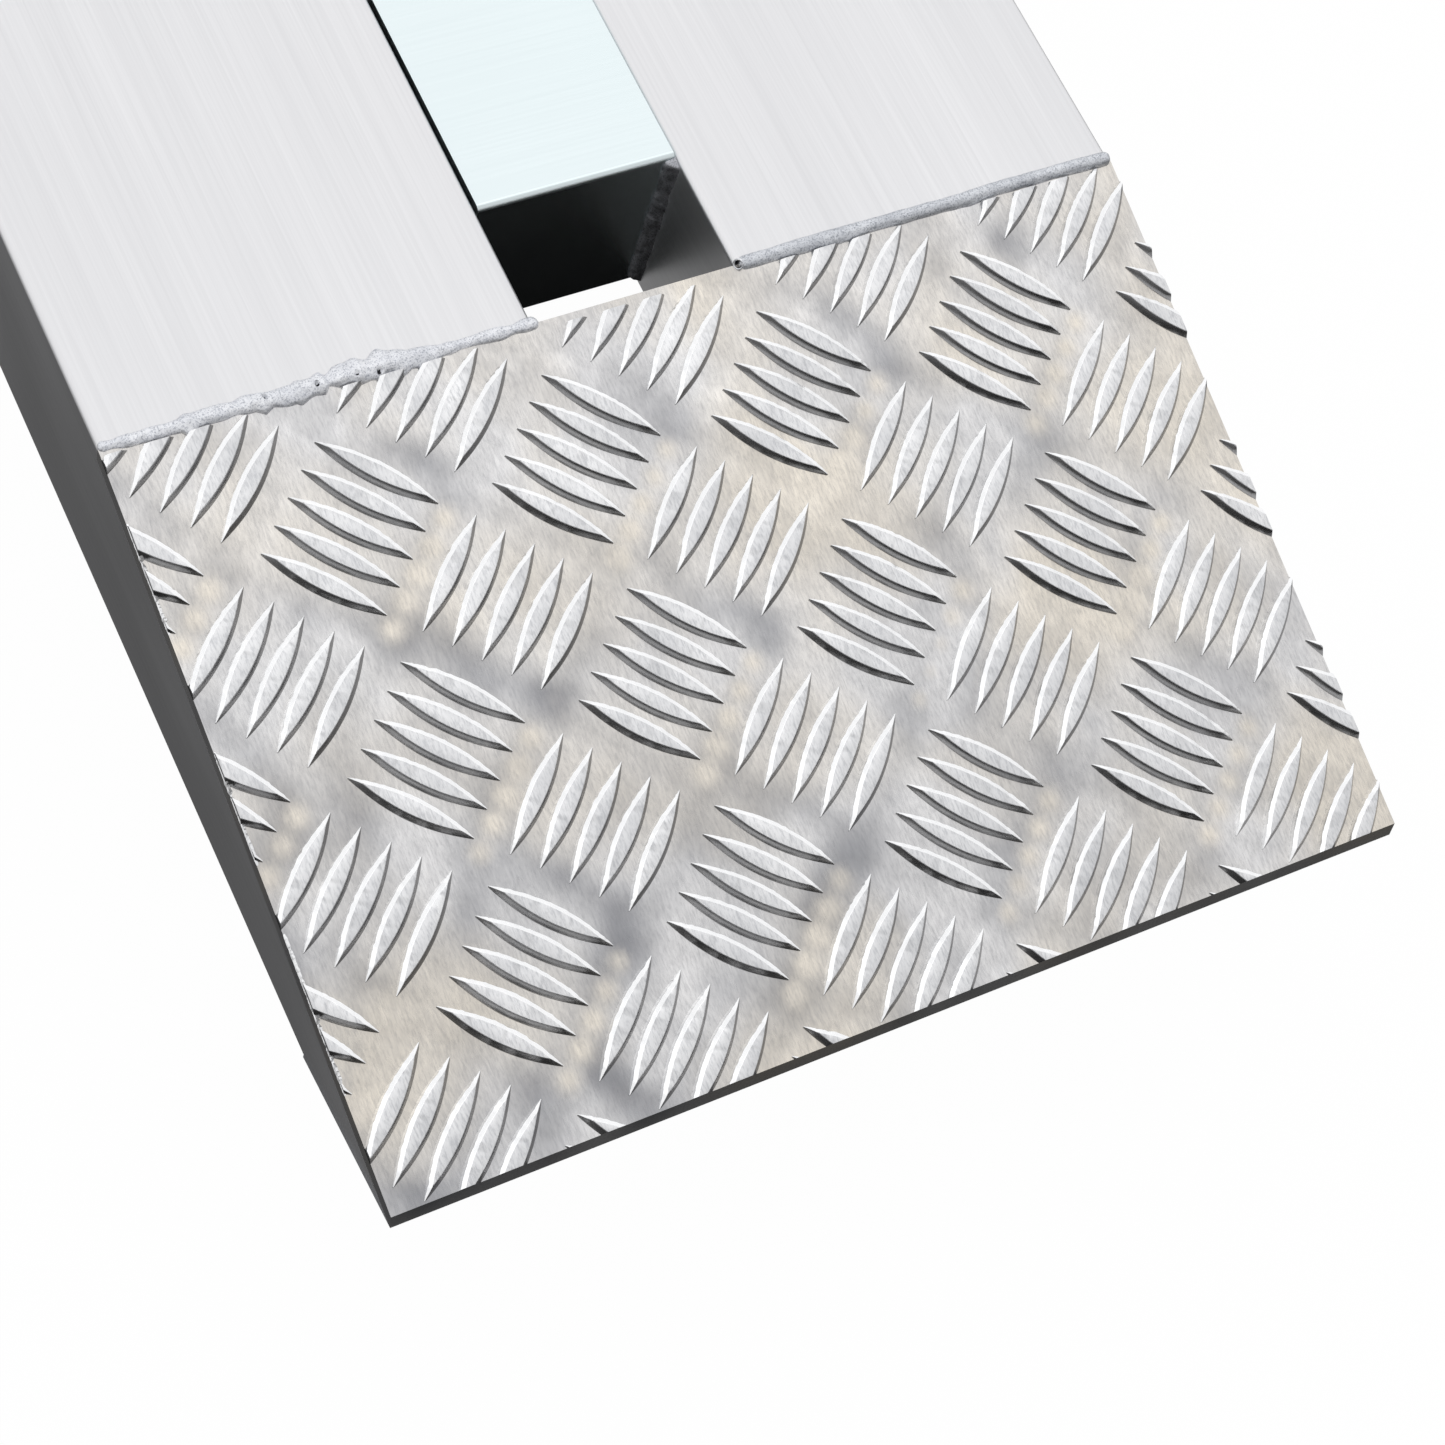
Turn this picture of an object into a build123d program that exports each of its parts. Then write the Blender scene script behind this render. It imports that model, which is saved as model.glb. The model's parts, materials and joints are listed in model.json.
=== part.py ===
from build123d import *

import os
from math import cos, radians, sin, tan

# Folding loading ramp, open and level. +X runs across it, +Y up it from toe to lip, +Z is up.
# The fold line is at y = 0, and z = 0 is the underside of the hinge knuckles.
# Lengths are in mm and angles in degrees.

# ---- Driving dimensions: rails, rungs and end plates
SECTION_LENGTH = 1000.0  # fold line to toe or lip
RAIL_WIDTH = 100.0
RAIL_HEIGHT = 50.0
TUBE_WALL = 3.0
TUBE_CORNER = 1.5
TUBE_INNER_CORNER = 0.5
RAIL_GAP = 50.0
RUNG_LENGTH = 100.0  # measured along the ramp
RUNG_COUNT = 4  # in each section
FIRST_RUNG_SETBACK = 30.9  # toe plate's weld line to the first rung
LEFT_SLACK = 0.7  # end gaps of a rung between the rails
RIGHT_SLACK = 0.1
RUNG_WELD_LEG = 3.0
BUTT_THICKNESS = 6.0
BUTT_GAP = 0.2  # each side of the fold line
BUTT_CHAMFER = 0.6

# ---- Driving dimensions: toe, lip and tread
RAMP_ANGLE = 12.0  # slope in use, which the ground face, lip and stop are cut to
TOE_SLOPE = 12.5
TOE_RUN = 165.0
PLATE = 4.0
SOLE = 3.0
LIP_WELD_Y = 880.0
RAIL_END = 52.0  # along the lip from its weld line
STOP = 5.0
BEAD_REACH = 2.4
BEAD_CROWN = 1.2
BAR_LENGTH = 29.2
BAR_WIDTH = 5.0
BAR_HEIGHT = 1.5
BAR_SPACING = 6.95
BARS_IN_GROUP = 5
TREAD_PITCH_X = 53.3
TREAD_PITCH_S = 50.6
TREAD_MARGIN = 3.5  # plain strip beside a weld line
LIP_EDGE_MARGIN = 2.0
LIP_HOLE_RADIUS = 5.5
PAD_THICKNESS = 8.0
PAD_WIDTH = 72.0
PAD_START = 70.0
PAD_END = 118.0
PAD_CORNER = 5.0
PAD_WEB = 3.0  # rubber left under a screw head
PAD_SCREW_RADIUS = 2.5
PAD_HEAD_RADIUS = 4.5
PAD_HEAD = 2.8
PAD_HEX = 1.5
BARE_MARGIN = 2.0  # plain metal around a hole in the lip

# ---- Driving dimensions: hinges
KNUCKLE_RADIUS = 10.0
KNUCKLE_HEADROOM = 0.5  # knuckle to the rails' underside
HINGE_WIDTH = 90.0
KNUCKLES = 5
KNUCKLE_GAP = 0.5
LEAF = 6.0
LEAF_END = 62.0
LEAF_CUTBACK = 10.8
PIN_RADIUS = 5.0
RUNNING_CLEARANCE = 0.06
PIN_HEAD_RADIUS = 8.0
PIN_HEAD = 4.5
PIN_WASHER = 1.5
PIN_NUT = 8.0
PIN_NUT_HALF_FLATS = 8.5
PIN_THREAD_END = 2.0  # thread showing past the nut
SCREW_RADIUS = 4.0
SCREW_SPACING_X = 60.0
SCREW_SPACING_Y = 24.0
SCREW_MIDDLE = 38.0  # from the fold line
SCREW_HOLE_PLAY = 0.25
SCREW_HEX = 2.5  # half of the socket's width across flats
BACKING = 6.0
BACKING_WIDTH = 84.0
BACKING_LENGTH = 56.0
LEAF_CORNER = 6.0
THREAD_PLAY = 0.05  # gap left between plain cylinders that stand in for a thread
WASHER_PLAY = 0.2
EDGE_BREAK = 1.0

# ---- Driving dimensions: bumpers and transit latch
BUMPER_Y = 650.0
BUMPER_RADIUS = 15.0
BUMPER_EDGE = 2.0
BUMPER_SCREW_RADIUS = 3.0
BUMPER_BORE_RADIUS = 7.0
BUMPER_HEAD_RADIUS = 6.0
BUMPER_HEAD = 3.3
BUMPER_HEX = 2.0
LATCH_Y = 672.0  # from the fold line, on both sections
LATCH_HEIGHT = 14.0  # above the rails' underside
LATCH_WASHER = 1.4
LATCH_PLATE = 4.0
LATCH_END_RADIUS = 11.0
LATCH_STUD_RADIUS = 4.0
LATCH_WASHER_RADIUS = 9.0
LATCH_NUT = 6.5
LATCH_NUT_HALF_FLATS = 6.5
LATCH_SIDE_PLAY = 0.1
CATCH_RADIUS = 5.0
CATCH_CLEARANCE = 0.3
CATCH_HEAD_RADIUS = 8.0
CATCH_HEAD = 3.0
CATCH_HEAD_PLAY = 0.5  # hook to the catch stud's head
MOUTH_ANGLE = 20.0  # sweep of the hook's open mouth about its pivot

# ---- Derived places
SIDES = {"left": -1, "right": 1}
SECTIONS = {"lower": -1, "upper": 1}
WIDTH = 2 * RAIL_WIDTH + RAIL_GAP
RAIL_X = (RAIL_GAP + RAIL_WIDTH) / 2
HINGE_Z = KNUCKLE_RADIUS
BOTTOM = 2 * KNUCKLE_RADIUS + KNUCKLE_HEADROOM
TOP = BOTTOM + RAIL_HEIGHT
BUTT_FACE = BUTT_GAP + BUTT_THICKNESS
LEAF_BOTTOM = BOTTOM - LEAF
SIN_RAMP = sin(radians(RAMP_ANGLE))
COS_RAMP = cos(radians(RAMP_ANGLE))
TAN_RAMP = tan(radians(RAMP_ANGLE))
SIN_TOE = sin(radians(TOE_SLOPE))
COS_TOE = cos(radians(TOE_SLOPE))
TAN_TOE = tan(radians(TOE_SLOPE))

# Toe, as (y, z) points: its front face is square to the ground face.
FRONT = PLATE / cos(radians(RAMP_ANGLE + TOE_SLOPE))
TOE_WELD_Y = -SECTION_LENGTH + TOE_RUN + FRONT * SIN_RAMP
TOE_EDGE = (TOE_WELD_Y - TOE_RUN, TOP - TOE_RUN * TAN_TOE)
TOE_TIP = (TOE_EDGE[0] - FRONT * SIN_RAMP, TOE_EDGE[1] - FRONT * COS_RAMP)
TOE_REAR = (TOE_WELD_Y, TOP - PLATE / COS_TOE)
HEEL_Y = TOE_TIP[0] + (TOE_TIP[1] - BOTTOM) / TAN_RAMP
HEEL_INSIDE = (HEEL_Y, BOTTOM + SOLE / COS_RAMP)
SOLE_MEET_Y = (
    HEEL_INSIDE[1] + HEEL_Y * TAN_RAMP - TOE_REAR[1] + TOE_WELD_Y * TAN_TOE
) / (TAN_RAMP + TAN_TOE)
SOLE_MEET = (SOLE_MEET_Y, HEEL_INSIDE[1] + (HEEL_Y - SOLE_MEET_Y) * TAN_RAMP)
TOE_LENGTH = TOE_RUN / COS_TOE
LIP_LENGTH = (SECTION_LENGTH - LIP_WELD_Y) / COS_RAMP

# Planes of the two tread faces: local x runs across the ramp and local y up it.
TOE_PLANE = Plane(origin=(0, TOE_WELD_Y, TOP), x_dir=(1, 0, 0), z_dir=(0, -SIN_TOE, COS_TOE))
LIP_PLANE = Plane(origin=(0, LIP_WELD_Y, TOP), x_dir=(1, 0, 0), z_dir=(0, SIN_RAMP, COS_RAMP))
TOE_TREAD_START = (44.5 - WIDTH / 2, -31.7)  # centre of one "\" group
LIP_TREAD_START = (0.0, 57.0)
LIP_FLAT_ROW = LIP_TREAD_START[1] + TREAD_PITCH_S / 2  # between two groups
LIP_HOLES = [(sign * 2 * TREAD_PITCH_X, LIP_FLAT_ROW) for sign in SIDES.values()]
PAD_SCREW_ROW = LIP_TREAD_START[1] + TREAD_PITCH_S


def pad_screws(sign):
    """Lip-plane places of one pad's three screws, each on a flat spot of the tread."""
    return [
        (sign * TREAD_PITCH_X, LIP_FLAT_ROW),
        (sign * TREAD_PITCH_X / 2, PAD_SCREW_ROW),
        (sign * TREAD_PITCH_X * 3 / 2, PAD_SCREW_ROW),
    ]


def lip_point(along, out):
    """(y, z) of a point along the lip from its weld line, and out of its tread face."""
    y = LIP_WELD_Y + along * COS_RAMP + out * SIN_RAMP
    return (y, TOP - along * SIN_RAMP + out * COS_RAMP)


def down_stop(point):
    """(y, z) where a line down from point, square to the lip, meets the rails' underside."""
    return (point[0] - (point[1] - BOTTOM) * TAN_RAMP, BOTTOM)


def tread_places(start, low, high):
    """Locations of the tread bars that fall between low and high of a tread plane's y."""
    places = []
    middle = (BARS_IN_GROUP - 1) / 2
    for turn, shift in ((-45, 0.0), (45, 0.5)):
        for column in range(-5, 6):
            for row in range(-5, 6):
                for bar in range(BARS_IN_GROUP):
                    off = Vector(0, (bar - middle) * BAR_SPACING).rotate(Axis.Z, turn)
                    x = start[0] + (column + shift) * TREAD_PITCH_X + off.X
                    y = start[1] + (row + shift) * TREAD_PITCH_S + off.Y
                    reach = BAR_LENGTH / 2
                    if abs(x) < WIDTH / 2 + reach and low - reach < y < high + reach:
                        places.append(Location((x, y, 0), (0, 0, turn)))
    return places


STOP_INSIDE = lip_point(RAIL_END, -PLATE)
STOP_OUTSIDE = lip_point(RAIL_END + STOP, -PLATE)
OUTLINES = {
    "lower": [
        (-BUTT_FACE, BOTTOM),
        (-BUTT_FACE, TOP),
        (TOE_WELD_Y, TOP),
        TOE_REAR,
        SOLE_MEET,
        HEEL_INSIDE,
        (HEEL_Y, BOTTOM),
    ],
    "upper": [
        (BUTT_FACE, BOTTOM),
        (BUTT_FACE, TOP),
        (LIP_WELD_Y, TOP),
        (LIP_WELD_Y, TOP - PLATE / COS_RAMP),
        STOP_INSIDE,
        down_stop(STOP_INSIDE),
    ],
}
# Distance from the fold line to each rung's middle, the same on both sections.
LAST_RUNG = -TOE_WELD_Y - FIRST_RUNG_SETBACK - RUNG_LENGTH / 2
NEAREST_RUNG = BUTT_FACE + RUNG_LENGTH / 2
RUNG_STEP = (LAST_RUNG - NEAREST_RUNG) / (RUNG_COUNT - 1)
RUNG_MIDDLES = [LAST_RUNG - i * RUNG_STEP for i in range(RUNG_COUNT)]

os.makedirs("parts", exist_ok=True)

# ---- Box rails, trimmed to each section's side outline
for section, toward in SECTIONS.items():
    for side, sign in SIDES.items():
        with BuildPart() as rail:
            with BuildSketch(Plane.XZ):
                with Locations((sign * RAIL_X, (TOP + BOTTOM) / 2)):
                    RectangleRounded(RAIL_WIDTH, RAIL_HEIGHT, TUBE_CORNER)
                    RectangleRounded(
                        RAIL_WIDTH - 2 * TUBE_WALL,
                        RAIL_HEIGHT - 2 * TUBE_WALL,
                        TUBE_INNER_CORNER,
                        mode=Mode.SUBTRACT,
                    )
            extrude(amount=-toward * SECTION_LENGTH)
            with BuildSketch(Plane.YZ.offset(-WIDTH / 2)):
                with BuildLine():
                    Polyline(*OUTLINES[section], close=True)
                make_face()
            extrude(amount=WIDTH, mode=Mode.INTERSECT)
            with Locations((sign * RAIL_X, toward * SCREW_MIDDLE, BOTTOM + TUBE_WALL)):
                with GridLocations(SCREW_SPACING_X, SCREW_SPACING_Y, 2, 2):
                    Hole(SCREW_RADIUS + SCREW_HOLE_PLAY, depth=TUBE_WALL)
            if section == "upper":
                with Locations((sign * RAIL_X, BUMPER_Y, BOTTOM + TUBE_WALL)):
                    Hole(BUMPER_SCREW_RADIUS + THREAD_PLAY, depth=TUBE_WALL)
        rail.part.label = f"{section}_rail_{side}"
        export_step(rail.part, f"parts/{section}_rail_{side}.step")

# ---- Rungs: short lengths of the same tube, laid flat across the gap
for section, toward in SECTIONS.items():
    for number, middle in enumerate(RUNG_MIDDLES, 1):
        with BuildPart() as rung:
            with BuildSketch(Plane.YZ.offset(-RAIL_GAP / 2 + LEFT_SLACK)):
                with Locations((toward * middle, (TOP + BOTTOM) / 2)):
                    RectangleRounded(RUNG_LENGTH, RAIL_HEIGHT, TUBE_CORNER)
                    RectangleRounded(
                        RUNG_LENGTH - 2 * TUBE_WALL,
                        RAIL_HEIGHT - 2 * TUBE_WALL,
                        TUBE_INNER_CORNER,
                        mode=Mode.SUBTRACT,
                    )
            extrude(amount=RAIL_GAP - LEFT_SLACK - RIGHT_SLACK)
        rung.part.label = f"{section}_rung_{number}"
        export_step(rung.part, f"parts/{section}_rung_{number}.step")

# ---- Upright fillet welds in the rungs' corners, none where a butt plate closes the corner
for section, toward in SECTIONS.items():
    with BuildPart() as rung_welds:
        with BuildSketch(Plane.XY.offset(BOTTOM + TUBE_CORNER)):
            for middle in RUNG_MIDDLES:
                for end in (-1, 1):
                    if middle == RUNG_MIDDLES[-1] and end == -1:
                        continue
                    face = toward * (middle + end * RUNG_LENGTH / 2)
                    for sign, slack in ((-1, LEFT_SLACK), (1, RIGHT_SLACK)):
                        wall = sign * RAIL_GAP / 2
                        with BuildLine():
                            Polyline(
                                (wall, face),
                                (wall - sign * (RUNG_WELD_LEG + slack), face),
                                (wall, face + toward * end * RUNG_WELD_LEG),
                                close=True,
                            )
                        make_face()
        extrude(amount=RAIL_HEIGHT - 2 * TUBE_CORNER)
    rung_welds.part.label = f"{section}_rung_welds"
    export_step(rung_welds.part, f"parts/{section}_rung_welds.step")

# ---- Butt plates, which meet at the fold line and carry the load when open
for section, toward in SECTIONS.items():
    with BuildPart() as butt_plate:
        with Locations((0, toward * (BUTT_GAP + BUTT_THICKNESS / 2), (TOP + BOTTOM) / 2)):
            Box(WIDTH, BUTT_THICKNESS, RAIL_HEIGHT)
        chamfer(butt_plate.edges().filter_by(Axis.X), length=BUTT_CHAMFER)
    butt_plate.part.label = f"{section}_butt_plate"
    export_step(butt_plate.part, f"parts/{section}_butt_plate.step")

# ---- One tread bar, a pointed lens
with BuildSketch() as tread_bar:
    with BuildLine():
        ThreePointArc((-BAR_LENGTH / 2, 0), (0, BAR_WIDTH / 2), (BAR_LENGTH / 2, 0))
        ThreePointArc((-BAR_LENGTH / 2, 0), (0, -BAR_WIDTH / 2), (BAR_LENGTH / 2, 0))
    make_face()

# ---- Toe: the sloping tread plate
with BuildPart() as toe_plate:
    with BuildSketch(Plane.YZ.offset(-WIDTH / 2)):
        with BuildLine():
            Polyline((TOE_WELD_Y, TOP), TOE_EDGE, TOE_TIP, TOE_REAR, close=True)
        make_face()
    extrude(amount=WIDTH)
    with BuildSketch(TOE_PLANE):
        with Locations(*tread_places(TOE_TREAD_START, -TOE_LENGTH, -TREAD_MARGIN)):
            add(tread_bar.sketch)
        with Locations((0, -(TOE_LENGTH + TREAD_MARGIN) / 2)):
            Rectangle(WIDTH, TOE_LENGTH - TREAD_MARGIN, mode=Mode.INTERSECT)
    extrude(amount=BAR_HEIGHT)
toe_plate.part.label = "toe_tread_plate"
export_step(toe_plate.part, "parts/toe_tread_plate.step")

# ---- Toe: the sole, which closes the rails on the ground face
with BuildPart() as toe_sole:
    with BuildSketch(Plane.YZ.offset(-WIDTH / 2)):
        with BuildLine():
            Polyline((HEEL_Y, BOTTOM), TOE_TIP, SOLE_MEET, HEEL_INSIDE, close=True)
        make_face()
    extrude(amount=WIDTH)
toe_sole.part.label = "toe_sole_plate"
export_step(toe_sole.part, "parts/toe_sole_plate.step")

# ---- Beads where the toe and lip plates meet the rails' top faces
for end, edge_y, toward, slope in (
    ("toe", TOE_WELD_Y, -1, TOE_SLOPE),
    ("lip", LIP_WELD_Y, 1, RAMP_ANGLE),
):
    on_rail = (edge_y - toward * BEAD_REACH, TOP)
    run, drop = BEAD_REACH * cos(radians(slope)), BEAD_REACH * sin(radians(slope))
    on_plate = (edge_y + toward * run, TOP - drop)
    with BuildPart() as end_welds:
        for sign in SIDES.values():
            with BuildSketch(Plane.YZ.offset(sign * RAIL_X - RAIL_WIDTH / 2)):
                with BuildLine():
                    ThreePointArc(on_rail, (edge_y, TOP + BEAD_CROWN), on_plate)
                    Polyline(on_plate, (edge_y, TOP), on_rail)
                make_face()
        extrude(amount=RAIL_WIDTH)
    end_welds.part.label = f"{end}_plate_welds"
    export_step(end_welds.part, f"parts/{end}_plate_welds.step")

# ---- Lip: tread plate that runs on past the rails to lie on the tailgate
with BuildPart() as lip_plate:
    with BuildSketch(Plane.YZ.offset(-WIDTH / 2)):
        with BuildLine():
            Polyline(
                (LIP_WELD_Y, TOP),
                lip_point(LIP_LENGTH, 0),
                lip_point(LIP_LENGTH, -PLATE),
                (LIP_WELD_Y, TOP - PLATE / COS_RAMP),
                close=True,
            )
        make_face()
    extrude(amount=WIDTH)
    with BuildSketch(LIP_PLANE):
        with Locations(*tread_places(LIP_TREAD_START, TREAD_MARGIN, LIP_LENGTH)):
            add(tread_bar.sketch)
        with Locations((0, (LIP_LENGTH - LIP_EDGE_MARGIN + TREAD_MARGIN) / 2)):
            Rectangle(WIDTH, LIP_LENGTH - LIP_EDGE_MARGIN - TREAD_MARGIN, mode=Mode.INTERSECT)
        with Locations(*LIP_HOLES):
            Circle(LIP_HOLE_RADIUS + BARE_MARGIN, mode=Mode.SUBTRACT)
        with Locations(*pad_screws(-1), *pad_screws(1)):
            Circle(PAD_SCREW_RADIUS + BARE_MARGIN, mode=Mode.SUBTRACT)
    extrude(amount=BAR_HEIGHT)
    with Locations(LIP_PLANE):
        with Locations(*LIP_HOLES):
            Hole(LIP_HOLE_RADIUS, depth=PLATE)
        with Locations(*pad_screws(-1), *pad_screws(1)):
            Hole(PAD_SCREW_RADIUS + THREAD_PLAY, depth=PLATE)
lip_plate.part.label = "lip_tread_plate"
export_step(lip_plate.part, "parts/lip_tread_plate.step")

# ---- Stop plate, which closes the rails and stands against the tailgate's edge
with BuildPart() as stop_plate:
    with BuildSketch(Plane.YZ.offset(-WIDTH / 2)):
        with BuildLine():
            Polyline(
                STOP_INSIDE, STOP_OUTSIDE, down_stop(STOP_OUTSIDE), down_stop(STOP_INSIDE), close=True
            )
        make_face()
    extrude(amount=WIDTH)
stop_plate.part.label = "tailgate_stop_plate"
export_step(stop_plate.part, "parts/tailgate_stop_plate.step")

# ---- Rubber pads under the lip, with counterbored screw holes
UNDER_LIP = LIP_PLANE.offset(-PLATE)
UNDER_PAD = Plane(
    origin=LIP_PLANE.offset(-PLATE - PAD_THICKNESS).origin,
    x_dir=(1, 0, 0),
    z_dir=(0, -SIN_RAMP, -COS_RAMP),
)
for side, sign in SIDES.items():
    with BuildPart() as lip_pad:
        with BuildSketch(UNDER_LIP):
            with Locations((sign * TREAD_PITCH_X, (PAD_START + PAD_END) / 2)):
                RectangleRounded(PAD_WIDTH, PAD_END - PAD_START, PAD_CORNER)
        extrude(amount=-PAD_THICKNESS)
        with Locations(UNDER_PAD):
            with Locations(*[(x, -y) for x, y in pad_screws(sign)]):
                CounterBoreHole(
                    PAD_SCREW_RADIUS + WASHER_PLAY,
                    PAD_HEAD_RADIUS + WASHER_PLAY,
                    PAD_THICKNESS - PAD_WEB,
                    depth=PAD_THICKNESS,
                )
    lip_pad.part.label = f"lip_pad_{side}"
    export_step(lip_pad.part, f"parts/lip_pad_{side}.step")

with BuildPart() as pad_screw:
    with BuildSketch(Plane.XY):
        Circle(PAD_SCREW_RADIUS)
    extrude(amount=PAD_WEB + PLATE - WASHER_PLAY)
    with BuildSketch(Plane.XY):
        Circle(PAD_HEAD_RADIUS)
    extrude(amount=-PAD_HEAD)
    with BuildSketch(Plane.XY.offset(-PAD_HEAD)):
        RegularPolygon(PAD_HEX, 6, major_radius=False)
    extrude(amount=PAD_HEAD / 2, mode=Mode.SUBTRACT)

with BuildPart() as lip_pad_screws:
    with Locations(LIP_PLANE.offset(-PLATE - PAD_WEB)):
        with Locations(*pad_screws(-1), *pad_screws(1)):
            add(pad_screw.part)
lip_pad_screws.part.label = "lip_pad_screws"
export_step(lip_pad_screws.part, "parts/lip_pad_screws.step")

# ---- Hinge leaves: the lower ones have the odd knuckles and the upper ones the even
KNUCKLE_WIDTH = (HINGE_WIDTH - (KNUCKLES - 1) * KNUCKLE_GAP) / KNUCKLES
for section, toward in SECTIONS.items():
    for side, sign in SIDES.items():
        leaf_x = sign * RAIL_X
        with BuildPart() as leaf:
            with Locations(
                (leaf_x, toward * (LEAF_CUTBACK + LEAF_END) / 2, LEAF_BOTTOM + LEAF / 2)
            ):
                Box(HINGE_WIDTH, LEAF_END - LEAF_CUTBACK, LEAF)
            far_face = leaf.faces().sort_by(Axis.Y)[0 if toward < 0 else -1]
            fillet(far_face.edges().filter_by(Axis.Z), radius=LEAF_CORNER)
            for index in range(0 if section == "lower" else 1, KNUCKLES, 2):
                knuckle_x = leaf_x - HINGE_WIDTH / 2 + index * (KNUCKLE_WIDTH + KNUCKLE_GAP)
                with BuildSketch(Plane.YZ.offset(knuckle_x)):
                    with Locations((toward * LEAF_CUTBACK / 2, LEAF_BOTTOM + LEAF / 2)):
                        Rectangle(LEAF_CUTBACK, LEAF)
                    with Locations((0, HINGE_Z)):
                        Circle(KNUCKLE_RADIUS)
                        Circle(PIN_RADIUS + RUNNING_CLEARANCE, mode=Mode.SUBTRACT)
                extrude(amount=KNUCKLE_WIDTH)
            with Locations(
                Plane((leaf_x, toward * SCREW_MIDDLE, LEAF_BOTTOM), x_dir=(1, 0, 0), z_dir=(0, 0, -1))
            ):
                with GridLocations(SCREW_SPACING_X, SCREW_SPACING_Y, 2, 2):
                    CounterSinkHole(
                        SCREW_RADIUS + SCREW_HOLE_PLAY, 2 * SCREW_RADIUS + WASHER_PLAY, LEAF, 90
                    )
        leaf.part.label = f"{section}_hinge_leaf_{side}"
        export_step(leaf.part, f"parts/{section}_hinge_leaf_{side}.step")

# ---- Tapped backing plates inside the rails
for section, toward in SECTIONS.items():
    for side, sign in SIDES.items():
        place = (sign * RAIL_X, toward * SCREW_MIDDLE, BOTTOM + TUBE_WALL + BACKING / 2)
        with BuildPart() as backing_plate:
            with Locations(place):
                Box(BACKING_WIDTH, BACKING_LENGTH, BACKING)
            with Locations((place[0], place[1], place[2] + BACKING / 2)):
                with GridLocations(SCREW_SPACING_X, SCREW_SPACING_Y, 2, 2):
                    Hole(SCREW_RADIUS + THREAD_PLAY, depth=BACKING)
        backing_plate.part.label = f"{section}_backing_plate_{side}"
        export_step(backing_plate.part, f"parts/{section}_backing_plate_{side}.step")

# ---- Countersunk socket screws, flush with the leaves
SCREW_LENGTH = LEAF + TUBE_WALL + BACKING + EDGE_BREAK
with BuildPart() as hinge_screw:
    with BuildSketch(Plane.XZ):
        with BuildLine():
            Polyline(
                (0, 0),
                (2 * SCREW_RADIUS, 0),
                (SCREW_RADIUS, SCREW_RADIUS),
                (SCREW_RADIUS, SCREW_LENGTH - EDGE_BREAK),
                (SCREW_RADIUS - EDGE_BREAK, SCREW_LENGTH),
                (0, SCREW_LENGTH),
                close=True,
            )
        make_face()
    revolve(axis=Axis.Z)
    with BuildSketch(Plane.XY):
        RegularPolygon(SCREW_HEX, 6, major_radius=False)
    extrude(amount=SCREW_RADIUS, mode=Mode.SUBTRACT)

for section, toward in SECTIONS.items():
    with BuildPart() as hinge_screws:
        with Locations(*[(sign * RAIL_X, toward * SCREW_MIDDLE, LEAF_BOTTOM) for sign in (-1, 1)]):
            with GridLocations(SCREW_SPACING_X, SCREW_SPACING_Y, 2, 2):
                add(hinge_screw.part)
    hinge_screws.part.label = f"{section}_hinge_screws"
    export_step(hinge_screws.part, f"parts/{section}_hinge_screws.step")

# ---- Hinge pins: head at the outer end, washer and nut in the gap between the rails
PIN_OUTER = RAIL_X + HINGE_WIDTH / 2
PIN_INNER = RAIL_X - HINGE_WIDTH / 2
PIN_TIP = PIN_INNER - PIN_WASHER - PIN_NUT - PIN_THREAD_END
for side, sign in SIDES.items():
    pin_plane = Plane((0, 0, HINGE_Z), x_dir=(0, 1, 0), z_dir=(sign, 0, 0))
    with BuildPart() as hinge_pin:
        with BuildSketch(pin_plane.offset(PIN_TIP)):
            Circle(PIN_RADIUS)
        extrude(amount=PIN_OUTER - PIN_TIP)
        with BuildSketch(pin_plane.offset(PIN_OUTER)):
            Circle(PIN_HEAD_RADIUS)
        extrude(amount=PIN_HEAD)
        ends = hinge_pin.edges().filter_by(GeomType.CIRCLE).sort_by(Axis((0, 0, 0), (sign, 0, 0)))
        fillet(ends[-1], radius=EDGE_BREAK)
        chamfer(ends[0], length=EDGE_BREAK)
    hinge_pin.part.label = f"hinge_pin_{side}"
    export_step(hinge_pin.part, f"parts/hinge_pin_{side}.step")

with BuildPart() as pin_washers:
    for sign in SIDES.values():
        pin_plane = Plane((0, 0, HINGE_Z), x_dir=(0, 1, 0), z_dir=(sign, 0, 0))
        with BuildSketch(pin_plane.offset(PIN_INNER - PIN_WASHER)):
            Circle(KNUCKLE_RADIUS)
            Circle(PIN_RADIUS + WASHER_PLAY, mode=Mode.SUBTRACT)
        extrude(amount=PIN_WASHER)
pin_washers.part.label = "hinge_pin_washers"
export_step(pin_washers.part, "parts/hinge_pin_washers.step")

with BuildPart() as pin_nuts:
    for sign in SIDES.values():
        pin_plane = Plane((0, 0, HINGE_Z), x_dir=(0, 1, 0), z_dir=(sign, 0, 0))
        with BuildSketch(pin_plane.offset(PIN_INNER - PIN_WASHER - PIN_NUT)):
            RegularPolygon(PIN_NUT_HALF_FLATS, 6, major_radius=False)
            Circle(PIN_RADIUS + THREAD_PLAY, mode=Mode.SUBTRACT)
        extrude(amount=PIN_NUT)
pin_nuts.part.label = "hinge_pin_nuts"
export_step(pin_nuts.part, "parts/hinge_pin_nuts.step")

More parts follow.
